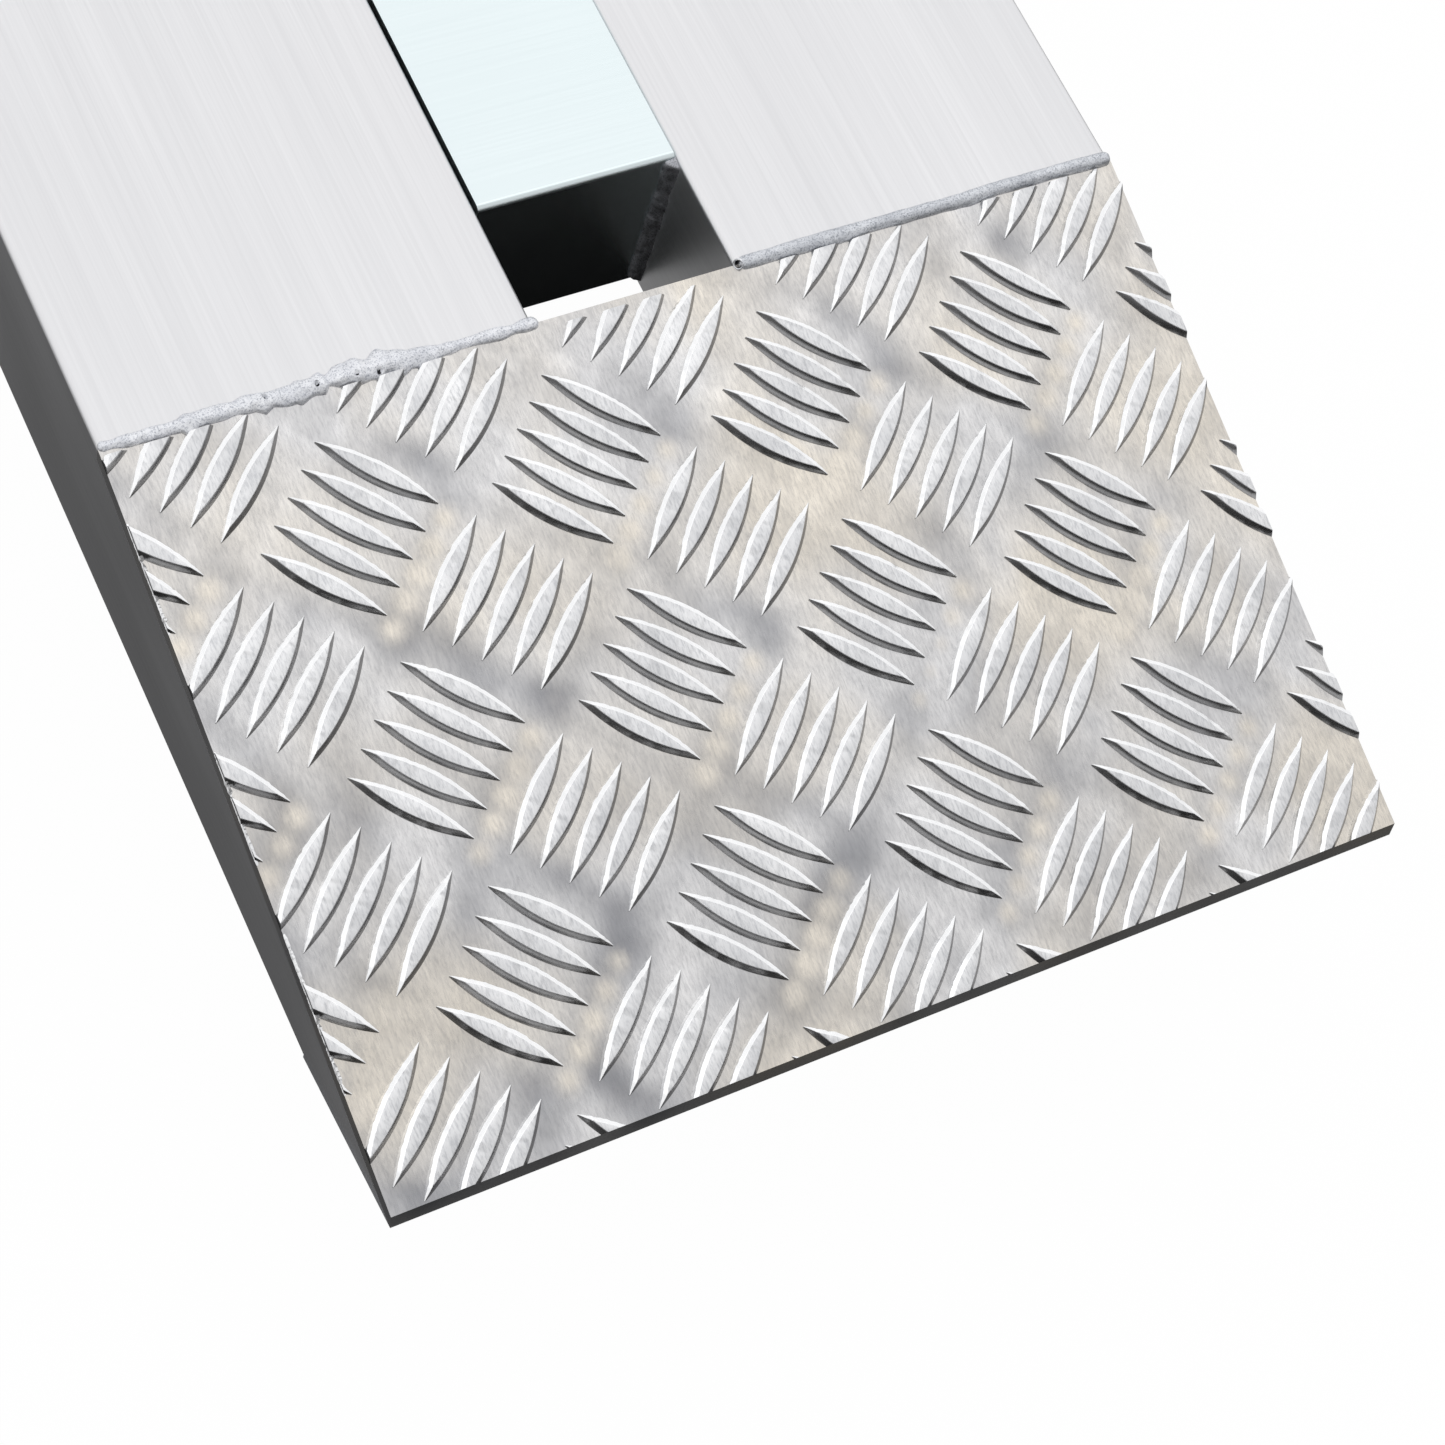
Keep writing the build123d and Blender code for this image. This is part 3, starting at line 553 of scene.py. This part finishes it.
def tone_and_dishing(points, places):
    """Height, coolness and warmth at points of a tread face, from where the bars' ends are.

    The metal is drawn down just beyond each end and painted with a dark reflection there, more so at the
    end nearer the toe, and painted with a bright sheen beside it. A toe plate is also painted darker
    towards the toe's left corner.
    """
    cool = np.zeros(len(points))
    warm = np.zeros(len(points))
    dip = np.zeros(len(points))
    inside = np.zeros(len(points))
    for x, y, turn in places:
        middle = np.array([x, y])
        inside += hump(points, middle, GROUP_SPREAD)
        for end in (-1, 1):
            axis = np.array([end * math.cos(turn), end * math.sin(turn)])
            tip = middle + axis * BAR_LENGTH / 2
            beyond = tip + axis * END_OFFSET
            dip += hump(points, beyond, DIP_SPREAD)
            if axis[1] < 0:
                cool += hump(points, beyond, NEAR_PATCH)
            else:
                cool += FAR_STRENGTH * hump(points, beyond, FAR_PATCH)
            if axis[1] < 0 and turn < 0:
                warm += GLINT_STRENGTH * hump(points, tip - np.array([0, GLINT_OFFSET]), GLINT_SPREAD)
    drift = wavering(points, 30, 26, 3.1)
    wander = wavering(points, 95, 70, 8.7)
    down_ramp = np.clip(-points[:, 1] / DARK_CORNER_LENGTH, 0, 1)
    dark_corner = down_ramp * np.clip(0.6 - points[:, 0] / DARK_CORNER_WIDTH, 0, 1)
    # cool holds painted dark reflections beyond the bars' ends with random mottling, warm a painted sheen
    cool = np.tanh(0.30 * cool * (1 + 0.8 * wander))
    cool = np.clip(0.72 * cool + 0.45 * wander + 0.25 * drift + 0.36 * dark_corner - 0.10, 0, 0.8)
    warm = np.clip(warm + 0.45 + 1.3 * drift + 0.5 * wander - 0.8 * cool, 0, 0.95)
    height = WAVINESS * wander - DIP_DEPTH * np.minimum(dip, 1.6) - GROUP_DEPTH * np.minimum(inside, 2)
    return height, cool, warm


EDGE_FADE = 3 * MM  # the strip along a plate's edges where the dishing fades out


def tread_sheet(name, top, under, places, axes):
    """The plate itself, whose top face is dished between the bars. top and under are y ranges."""
    columns = round(2 * HALF_WIDTH / GRID)
    rows = round(abs(top[1] - top[0]) / GRID)
    xs = np.linspace(-HALF_WIDTH, HALF_WIDTH, columns + 1)
    share = np.linspace(0, 1, rows + 1)
    flat = np.array([(x, top[0] + t * (top[1] - top[0])) for t in share for x in xs])
    height, cool, warm = tone_and_dishing(flat, places)
    edge = np.minimum(HALF_WIDTH - np.abs(flat[:, 0]), np.abs(flat[:, 1] - top[0]))
    edge = np.minimum(edge, np.abs(flat[:, 1] - top[1]))
    height = np.minimum(height, 0) * np.clip(edge / EDGE_FADE, 0, 1)
    upper = [(x, y, z) for (x, y), z in zip(flat, height)]
    lower = [(x, under[0] + t * (under[1] - under[0]), -PLATE) for t in share for x in xs]
    total = len(upper)
    wide = columns + 1
    faces = []
    for row in range(rows):
        for column in range(columns):
            a = row * wide + column
            quad = (a, a + 1, a + wide + 1, a + wide)
            faces.append(quad)
            faces.append(tuple(total + i for i in reversed(quad)))
    border = list(range(columns))
    border += [row * wide + columns for row in range(rows)]
    border += [rows * wide + column for column in range(columns, 0, -1)]
    border += [row * wide for row in range(rows, 0, -1)]
    for here, there in zip(border, border[1:] + border[:1]):
        faces.append((here, here + total, there + total, there))
    made = make_object(name, upper + lower, faces, [TREAD_METAL], axes)
    # The underside, whose points come second, gets half as much of the painted reflection and sheen
    for label, values in (("cool", cool), ("warm", warm)):
        layer = made.data.attributes.new(label, "FLOAT", "POINT")
        layer.data.foreach_set("value", np.concatenate([values, values * 0.5]).astype(np.float32))
    outward(made)
    return made


def drill(piece, holes, axes):
    """Cuts round holes square through a tread sheet."""
    for x, y, radius in holes:
        bpy.ops.mesh.primitive_cylinder_add(vertices=48, radius=radius, depth=6 * PLATE)
        cutter = bpy.context.object
        cutter.matrix_world = axes @ Matrix.Translation((x, y, 0))
        cut = piece.modifiers.new("hole", "BOOLEAN")
        cut.operation = "DIFFERENCE"
        cut.solver = "EXACT"
        cut.object = cutter
        bpy.context.view_layer.objects.active = piece
        bpy.ops.object.modifier_apply(modifier=cut.name)
        bpy.data.objects.remove(cutter)


def make_tread(name, node, body, axes, top, under, start, low, high, holes, bare):
    """Shows a tread plate: its sheet, its holes and its bars, which lie between low and high.

    No bar stands where it would touch one of the bare holes.
    """
    places = bar_places(start, low, high)
    sheet = tread_sheet(name + "_sheet", top, under, places, axes)
    drill(sheet, holes, axes)
    bars = bar_mesh(name + "_bars", places, low, high, bare, axes)
    made = join([sheet, bars], name)
    smooth(made, 28)
    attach(made, body)
    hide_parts(node)


make_tread(
    "toe_tread",
    "toe_tread_plate",
    "lower_ramp",
    TOE_AXES,
    top=(-TOE_LENGTH, 0.0),
    under=(-TOE_LENGTH - FRONT_FACE * math.sin(RAMP_ANGLE + TOE_SLOPE), -PLATE * math.tan(TOE_SLOPE)),
    start=TOE_TREAD_START,
    low=-TOE_LENGTH,
    high=-2.0 * MM,
    holes=[],
    bare=[],
)
make_tread(
    "lip_tread",
    "lip_tread_plate",
    "upper_ramp",
    LIP_AXES,
    top=(0.0, LIP_LENGTH),
    under=(PLATE * math.tan(RAMP_ANGLE), LIP_LENGTH),
    start=LIP_TREAD_START,
    low=0.8 * MM,
    high=LIP_LENGTH - 2 * MM,
    holes=LIP_HOLES + LIP_SCREW_HOLES,
    bare=LIP_HOLES,
)


# ---------------------------------------------------------------- weld beads
BEAD_SPREAD = 1.1  # multiplies the widths of every bead below
BEAD_STEP = 0.32 * MM  # between cross sections
BEAD_END = 1.5 * MM  # over which a bead closes at each end
PORE_LIP = 0.12 * MM  # height of the rim around a pit
# (place, plate side, rail side, height) in mm from the start of each bead
LEFT_BEAD = [
    (0, 1.1, 1.2, 0.8),
    (18.0, 1.2, 1.3, 0.9),
    (19.6, 2.8, 1.7, 1.4),
    (22.0, 1.8, 1.8, 1.2),
    (34.5, 1.8, 2.1, 1.2),
    (36.5, 3.3, 2.1, 1.6),
    (38.6, 1.8, 2.0, 1.1),
    (43.5, 1.9, 1.8, 1.0),
    (44.4, 2.4, 2.2, 1.4),
    (50.4, 2.7, 2.1, 1.5),
    (51.6, 1.1, 1.4, 0.7),
    (53.5, 2.4, 2.4, 1.8),
    (56.5, 1.4, 2.4, 1.1),
    (59.0, 2.4, 3.1, 2.0),
    (61.5, 3.0, 2.8, 1.4),
    (64.5, 2.2, 3.2, 2.1),
    (67.4, 3.3, 2.4, 1.8),
    (70.5, 1.9, 1.7, 1.1),
    (82.0, 1.3, 1.5, 0.9),
    (100.0, 1.3, 1.4, 0.9),
]
# (place, offset, radius, depth) in mm of the pits in it
LEFT_PORES = [
    (37.3, -0.4, 0.5, 1.1),
    (48.9, 0.2, 0.5, 1.1),
    (51.6, 1.6, 0.5, 0.6),
    (58.0, 0.6, 0.5, 0.7),
    (62.8, 1.3, 0.6, 0.8),
]
RIGHT_BEAD = [
    (0, 1.4, 1.4, 1.3),
    (14.0, 1.7, 1.6, 1.4),
    (28.0, 1.9, 1.7, 1.4),
    (33.0, 1.4, 1.5, 1.3),
    (46.0, 1.5, 1.5, 1.5),
    (60.0, 1.8, 1.3, 1.6),
    (68.0, 1.3, 1.7, 1.5),
    (84.0, 1.4, 1.6, 1.6),
    (99.0, 1.7, 1.3, 1.6),
]
LIP_BEAD = [
    (0, 1.5, 1.5, 1.2),
    (30.0, 1.8, 1.6, 1.3),
    (55.0, 1.5, 1.7, 1.2),
    (80.0, 1.9, 1.6, 1.3),
    (99.5, 1.6, 1.5, 1.2),
]
RAIL_WIDE = HALF_WIDTH - HALF_GAP


def rounded_end(distance, length, least):
    """The share of its full size that a bead has near its end, which is rounded over a length."""
    share = min(1.0, distance / length)
    return max(least, math.sqrt(max(0.0, 1 - (1 - share) ** 2)))


def bead(name, metal, x_from, length, origin, slope, toward, shape, pores, rough, seed):
    """A weld bead along x over the edge where a plate leaves the rails' top face.

    toward is +1 where the plate runs towards +y. shape and pores are lists like LEFT_BEAD and
    LEFT_PORES, in mm from the bead's start.
    """
    places, plate_side, rail_side, heights = (np.array(column) * MM for column in zip(*shape))
    steps = round(length / BEAD_STEP)
    arc = 17  # points across the top of a section
    rings = []
    pits = []
    for i in range(steps + 1):
        run = length * i / steps
        x = x_from + run
        close = rounded_end(min(run, length - run), BEAD_END, 0.06)
        drift = noise.noise(Vector((x * 260, seed, 0.3))) * rough
        wobble = noise.noise(Vector((x * 90, seed + 3.0, 5.3))) * rough
        wide = BEAD_SPREAD * close
        over_plate = wide * np.interp(run, places, plate_side) * (1 + 0.6 * drift + 0.6 * wobble)
        over_rail = wide * np.interp(run, places, rail_side) * (1 + 0.6 * drift - 0.6 * wobble)
        height = np.interp(run, places, heights) * (1 + 0.5 * drift) * close
        ring = []
        pitted = []
        for j in range(arc):
            share = -1 + 2 * j / (arc - 1)
            share = math.copysign(abs(share) ** 0.75, share)
            across = share * (over_plate if share > 0 else over_rail)
            base = -max(0.0, across) * math.sin(slope)
            crust = noise.noise(Vector((x * 1100, across * 1100, seed))) * 0.12 * MM
            crust += noise.noise(Vector((x * 480, across * 480, seed + 9.0))) * 0.42 * MM * rough
            rise = (height + crust) * max(0.0, 1 - abs(share) ** 2.6) ** 0.5
            in_pit = False
            for place, offset, radius, depth in pores:
                reach = math.hypot(run - place * MM, across - offset * MM) / (radius * MM)
                rise -= depth * MM * math.exp(-(reach**4))
                rise += PORE_LIP * math.exp(-(((reach - 1.5) / 0.4) ** 2))
                in_pit = in_pit or reach < 1.05
            pitted.append(in_pit)
            out = across * math.cos(slope) if across > 0 else across
            ring.append((x, origin.y + toward * out, origin.z + base + max(rise, -0.2 * MM)))
        foot = over_plate * 0.8
        ring.append((x, origin.y + toward * foot, origin.z - SINK - foot * math.sin(slope)))
        ring.append((x, origin.y - toward * over_rail * 0.8, origin.z - SINK))
        rings.append(ring)
        pits.append(pitted + [False, False])
    vertices, faces = loft(rings)
    flat_pits = [in_pit for row in pits for in_pit in row]
    # Faces inside a pit get painted shade
    dark = [int(all(flat_pits[corner] for corner in face)) for face in faces]
    made = make_object(name, vertices, faces, [metal, PIT_SHADE], face_materials=dark)
    outward(made)
    smooth(made, 70)
    return made


def crater(name, centre, axis, radius):
    """The open end of a bead: a small cup with a rounded rim, around an axis that points out of it."""
    turned = axis.normalized().to_track_quat("Z", "Y").to_matrix().to_4x4()
    turned.translation = centre
    outside = [(0.0, -1.6), (0.8, -1.5), (1.05, -0.6), (1.05, -0.1)]
    outline = outside + [(0.88, 0.1), (0.7, -0.02), (0.62, -0.6), (0.0, -1.2)]
    rim_rings = 5  # bands from the foot over the rim, before the inside with painted shade begins
    sides = 20
    rings = []
    for share, height in outline:
        reach = max(share, 0.02) * radius
        angles = [2 * math.pi * k / sides for k in range(sides)]
        rings.append([(reach * math.cos(a), reach * math.sin(a), height * radius) for a in angles])
    vertices, faces = loft(rings)
    inside = [0] * rim_rings * sides + [1] * (len(outline) - 1 - rim_rings) * sides + [0, 1]
    made = make_object(name, vertices, faces, [WELD_METAL, PIT_SHADE], turned, inside)
    outward(made)
    smooth(made, 60)
    return made


def show_welds(pieces, name, body, node):
    """Shows the pieces as one, in place of a node of welds."""
    made = join(pieces, name)
    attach(made, body)
    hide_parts(node)


LEFT_OVERRUN = 1.2 * MM  # of the left bead past its rail, into the gap
RIGHT_DELAY = 0.9 * MM  # from the gap to the start of the right bead, where its open end is
OPEN_END = TOE_WELD + Vector((HALF_GAP + 0.5 * MM, -0.4 * MM, 0.75 * MM))
show_welds(
    [
        bead(
            "bead_a",
            WELD_METAL,
            -HALF_WIDTH,
            RAIL_WIDE + LEFT_OVERRUN,
            TOE_WELD,
            TOE_SLOPE,
            toward=-1,
            shape=LEFT_BEAD,
            pores=LEFT_PORES,
            rough=0.75,
            seed=1.0,
        ),
        bead(
            "bead_b",
            DULL_WELD,
            HALF_GAP + RIGHT_DELAY,
            RAIL_WIDE - RIGHT_DELAY,
            TOE_WELD,
            TOE_SLOPE,
            toward=-1,
            shape=RIGHT_BEAD,
            pores=[],
            rough=0.16,
            seed=2.0,
        ),
        crater("bead_end", OPEN_END, Vector((-0.9, -0.5, 0.75)), 1.25 * MM),
    ],
    "toe_weld_beads",
    "lower_ramp",
    "toe_plate_welds",
)
show_welds(
    [
        bead(
            name,
            WELD_METAL,
            x_from,
            RAIL_WIDE,
            LIP_WELD,
            RAMP_ANGLE,
            toward=1,
            shape=LIP_BEAD,
            pores=[],
            rough=0.3,
            seed=seed,
        )
        for name, x_from, seed in (("bead_c", -HALF_WIDTH, 5.0), ("bead_d", HALF_GAP, 6.0))
    ],
    "lip_weld_beads",
    "upper_ramp",
    "lip_plate_welds",
)


# ---------------------------------------------------------------- welds that hold the rungs
FILLET_STEP = 0.6 * MM  # between cross sections
FILLET_END = 1.2 * MM  # over which a fillet closes at each end
FILLET_RIPPLE = 1.1 * MM  # pitch of the ripples up a fillet
FILLET_FOOT = 1.5 * MM  # from the rails' underside up to a fillet
# (side, drop, leg): a fillet on the gap's left or right wall, how far below the rails' top it ends,
# and its size
RUNG_FILLETS = [(-1, 9.5 * MM, 2.9 * MM), (1, 0.6 * MM, 2.6 * MM)]


def rung_fillet(name, wall, side, face, out, leg, low, high, seed):
    """An upright fillet in the corner between a rail's wall and a rung's face.

    side is the direction of the wall from the gap, and out the direction away from the rung.
    """
    steps = round((high - low) / FILLET_STEP)
    arc = 9  # points across the face of a section
    rings = []
    for i in range(steps + 1):
        z = low + (high - low) * i / steps
        close = rounded_end(min(z - low, high - z), FILLET_END, 0.12)
        ripple = 1 + 0.06 * math.sin((z - low) / FILLET_RIPPLE * 2 * math.pi)
        swell = ripple + 0.22 * noise.noise(Vector((z * 180, seed, 2.2)))
        ring = [(wall + side * SINK * 0.5, face - out * SINK * 0.5, z)]
        for j in range(arc):
            angle = math.pi / 2 * j / (arc - 1)
            crust = 1 + 0.10 * noise.noise(Vector((z * 700, angle * 2, seed)))
            reach = leg * close * swell * crust * (1 - 0.16 * math.sin(2 * angle))
            ring.append((wall - side * reach * math.cos(angle), face + out * reach * math.sin(angle), z))
        rings.append(ring)
    vertices, faces = loft(rings)
    made = make_object(name, vertices, faces, [FILLET_WELD])
    outward(made)
    smooth(made, 60)
    return made


def show_rung_welds(section):
    """Two fillets at each free face of each rung; the face on a butt plate has none."""
    pieces = []
    boxes = [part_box(f"{section}_rung_{number}") for number in (1, 2, 3, 4)]
    butt_low, butt_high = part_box(f"{section}_butt_plate")
    for number, (low, high) in enumerate(boxes):
        for face, out in ((low.y, -1), (high.y, 1)):
            if min(abs(face - butt_low.y), abs(face - butt_high.y)) < MM:
                continue
            for side, drop, leg in RUNG_FILLETS:
                seed = 10.0 * number + 3.0 * out + side
                name = f"fillet_{number}_{out}_{side}"
                wall = side * HALF_GAP
                foot, top = BOTTOM + FILLET_FOOT, TOP - drop
                pieces.append(rung_fillet(name, wall, side, face, out, leg, foot, top, seed))
    show_welds(pieces, f"{section}_rung_beads", f"{section}_ramp", f"{section}_rung_welds")


show_rung_welds("lower")
show_rung_welds("upper")


# ---------------------------------------------------------------- burrs where the shears cut the bars
BURR_STEP = 0.35 * MM
# (start, stop) of each strip on the toe plate's left side, in mm from the weld
BURRS = [(-42, -17), (-93, -68), (-143, -108)]


def burr_strip(name, x, start, stop, axes, seed):
    """A torn sliver of metal along a sheared side of a tread plate, between two heights of its face."""
    side = math.copysign(1, x)
    steps = round((stop - start) / BURR_STEP)
    rings = []
    for i in range(steps + 1):
        along = start + (stop - start) * i / steps
        close = min(1.0, min(i, steps - i) / 4) * 0.9 + 0.1
        torn = 0.5 + 0.8 * noise.noise(Vector((along * 1100, seed, 1.0)))
        torn = max(0.05, torn + 0.5 * noise.noise(Vector((along * 300, seed, 6.0)))) * close
        rings.append(
            [
                (x + side * 0.02 * MM, along, -0.3 * MM),
                (x + side * 0.25 * MM * torn, along, 0.1 * MM),
                (x - side * 0.10 * MM, along, 0.75 * MM * torn),
                (x - side * (0.35 + 0.5 * torn) * MM, along, 0.25 * MM * torn),
                (x - side * (0.5 + 0.7 * torn) * MM, along, -0.3 * MM),
            ]
        )
    vertices, faces = loft(rings)
    # The sliver is painted with the white of the bars' painted highlight
    made = make_object(name, vertices, faces, [RIM_HIGHLIGHT], axes)
    outward(made)
    return made


burrs = join(
    [
        burr_strip(f"burr_{index}", -HALF_WIDTH, start * MM, stop * MM, TOE_AXES, 3.0 * index)
        for index, (start, stop) in enumerate(BURRS)
    ],
    "toe_edge_burrs",
)
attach(burrs, "lower_ramp")


# ---------------------------------------------------------------- camera, light and floor
LENS = 82.3  # this and the sensor's width are in millimetres
SENSOR = 36
CAMERA_PLACE = TOE_WELD + Vector((-0.280, -0.322, 0.598))
CAMERA_HEADING = math.radians(48.9)  # from +y towards +x
CAMERA_ELEVATION = math.radians(60.75)  # downward
CAMERA_ROLL = math.radians(25.9)
FLOOR_Z = -0.06
FLOOR_HALF = 6.0
FLOOR_MATTE = 0.02  # share of the floor that takes light, while the rest glows
SHADE_Z = -0.058
SHADE_FROM = TOE_WELD.y + 15 * MM  # where the shade starts to lighten up the ramp
SHADE_TO = TOE_WELD.y + 70 * MM
SHADE_DARKEST = 0.004
SHADE_LIGHTEST = 0.25
LAMP_PLACE = TOE_WELD + Vector((0.3, 1.1, 1.3))


def make_camera():
    """The camera stands over the toe's left corner and looks across it towards the right rail."""
    data = bpy.data.cameras.new("camera")
    data.lens = LENS
    data.sensor_width = SENSOR
    data.clip_start = 0.02
    camera = bpy.data.objects.new("camera", data)
    bpy.context.scene.collection.objects.link(camera)
    camera.location = CAMERA_PLACE
    look = Euler((math.pi / 2 - CAMERA_ELEVATION, 0, -CAMERA_HEADING), "XYZ").to_matrix()
    camera.rotation_euler = (look @ Matrix.Rotation(CAMERA_ROLL, 3, "Z")).to_euler()
    bpy.context.scene.camera = camera


def empty_material(name):
    """A material with no nodes yet, and its node tree."""
    material = bpy.data.materials.new(name)
    material.use_nodes = True
    material.node_tree.nodes.clear()
    return material, material.node_tree


def card(name, low_x, low_y, high_x, high_y, z, material):
    """A flat rectangle of the studio that faces up."""
    corners = [(low_x, low_y, z), (high_x, low_y, z), (high_x, high_y, z), (low_x, high_y, z)]
    return make_object(name, corners, [(0, 1, 2, 3)], [material])


def make_floor():
    """A plain white floor, which only the camera sees, and only from above.

    It is clear from below so that the ramp's underside can be looked at.
    """
    material, tree = empty_material("floor_white")
    output = tree.nodes.new("ShaderNodeOutputMaterial")
    white = tree.nodes.new("ShaderNodeMixShader")
    glow = tree.nodes.new("ShaderNodeEmission")
    matte = tree.nodes.new("ShaderNodeBsdfDiffuse")
    one_sided = tree.nodes.new("ShaderNodeMixShader")
    white.inputs[0].default_value = FLOOR_MATTE
    glow.inputs["Strength"].default_value = 1.0
    matte.inputs["Color"].default_value = (0.95, 0.95, 0.95, 1)
    tree.links.new(glow.outputs[0], white.inputs[1])
    tree.links.new(matte.outputs[0], white.inputs[2])
    tree.links.new(tree.nodes.new("ShaderNodeNewGeometry").outputs["Backfacing"], one_sided.inputs[0])
    tree.links.new(white.outputs[0], one_sided.inputs[1])
    tree.links.new(tree.nodes.new("ShaderNodeBsdfTransparent").outputs[0], one_sided.inputs[2])
    tree.links.new(one_sided.outputs[0], output.inputs[0])
    floor = card("studio_floor", -FLOOR_HALF, -FLOOR_HALF, FLOOR_HALF, FLOOR_HALF, FLOOR_Z, material)
    floor.visible_glossy = False
    floor.visible_diffuse = False


def make_world():
    """A soft studio: bright overhead, dark beyond the toe and grey below.

    The metal reflects it, and the camera sees a plain white backdrop in its place.
    """
    world = bpy.data.worlds.new("studio")
    bpy.context.scene.world = world
    world.use_nodes = True
    tree = world.node_tree
    background = tree.nodes["Background"]

    def node(kind, **settings):
        made = tree.nodes.new(kind)
        for key, value in settings.items():
            setattr(made, key, value)
        return made

    def remap(value, low, high):
        """0 at the low value, 1 at the high one, and in proportion between them."""
        made = node("ShaderNodeMapRange")
        made.inputs["From Min"].default_value = low
        made.inputs["From Max"].default_value = high
        tree.links.new(value, made.inputs["Value"])
        return made.outputs["Result"]

    def levels(value, stops):
        """Brightness against a direction's share of one axis, from -1 to 1."""
        made = node("ShaderNodeValToRGB")
        for index, (place, level) in enumerate(stops):
            stop = made.color_ramp.elements[index] if index < 2 else made.color_ramp.elements.new(1)
            stop.position = (place + 1) / 2
            stop.color = (level, level, level * 1.01, 1)
        tree.links.new(remap(value, -1, 1), made.inputs["Fac"])
        return made.outputs["Color"]

    def blend(factor, first, second):
        made = node("ShaderNodeMix", data_type="RGBA")
        for value, socket in ((factor, 0), (first, 6), (second, 7)):
            tree.links.new(value, made.inputs[socket])
        return made.outputs[2]

    split = node("ShaderNodeSeparateXYZ")
    tree.links.new(node("ShaderNodeTexCoord").outputs["Generated"], split.inputs[0])
    y, z = split.outputs["Y"], split.outputs["Z"]
    # Five bands from straight down to straight up, each from beyond the toe (-1) to up the ramp (1)
    floor = levels(y, [(-1, 0.03), (-0.65, 0.085), (0.0, 0.06), (0.53, 0.095), (1, 0.14)])
    skirt = levels(y, [(-1, 0.03), (-0.7, 0.05), (-0.5, 0.20), (0.0, 0.42), (0.5, 0.46), (1, 0.44)])
    dark_side = [(-1, 0.015), (-0.7, 0.05), (-0.45, 0.28)]
    horizon = levels(y, dark_side + [(-0.2, 0.80), (0.1, 0.88), (0.66, 0.92), (1, 0.84)])
    toe_side = [(-1, 0.62), (-0.6, 0.72)]
    overhead = levels(y, toe_side + [(-0.2, 0.86), (0.1, 0.93), (0.46, 0.98), (0.64, 1.08), (1, 0.88)])
    bright_strip = [(0.06, 0.96), (0.2, 1.4), (0.34, 1.15), (0.46, 0.92), (1, 0.9)]
    crown = levels(y, toe_side + [(-0.36, 0.62), (-0.18, 0.88)] + bright_strip)
    high = blend(remap(z, 0.10, 0.34), horizon, blend(remap(z, 0.70, 0.86), overhead, crown))
    low = blend(remap(z, -0.66, -0.45), floor, skirt)
    studio = blend(remap(z, -0.15, 0.05), low, high)
    seen = node("ShaderNodeMix", data_type="RGBA")
    seen.inputs[7].default_value = (1, 1, 1, 1)
    tree.links.new(node("ShaderNodeLightPath").outputs["Is Camera Ray"], seen.inputs[0])
    tree.links.new(studio, seen.inputs[6])
    tree.links.new(seen.outputs[2], background.inputs["Color"])


def make_shade():
    """The shade under the ramp, darkest at the toe, which only the metal's reflections see."""
    material, tree = empty_material("shade_dark")
    place = tree.nodes.new("ShaderNodeSeparateXYZ")
    fade = tree.nodes.new("ShaderNodeMapRange")
    glow = tree.nodes.new("ShaderNodeEmission")
    tree.links.new(tree.nodes.new("ShaderNodeNewGeometry").outputs["Position"], place.inputs[0])
    tree.links.new(place.outputs["Y"], fade.inputs["Value"])
    fade.inputs["From Min"].default_value = SHADE_FROM
    fade.inputs["From Max"].default_value = SHADE_TO
    fade.inputs["To Min"].default_value = SHADE_DARKEST
    fade.inputs["To Max"].default_value = SHADE_LIGHTEST
    tree.links.new(fade.outputs["Result"], glow.inputs["Strength"])
    tree.links.new(glow.outputs[0], tree.nodes.new("ShaderNodeOutputMaterial").inputs["Surface"])
    low, high = cad_box
    shade = card("studio_shade", low.x, low.y, high.x, high.y, SHADE_Z, material)
    shade.visible_camera = False
    shade.visible_shadow = False
    shade.visible_diffuse = False


def make_key():
    """One soft lamp over the ramp, which lights what isn't metal and doesn't show in reflections."""
    light = bpy.data.lights.new("key", "AREA")
    light.energy = 3
    light.size = 1.2
    lamp = bpy.data.objects.new("key", light)
    bpy.context.scene.collection.objects.link(lamp)
    lamp.location = LAMP_PLACE
    lamp.rotation_euler = (TOE_WELD - lamp.location).to_track_quat("-Z", "Y").to_euler()
    lamp.visible_glossy = False


make_camera()
make_floor()
make_world()
make_shade()
make_key()
bpy.context.scene.view_settings.view_transform = "Standard"
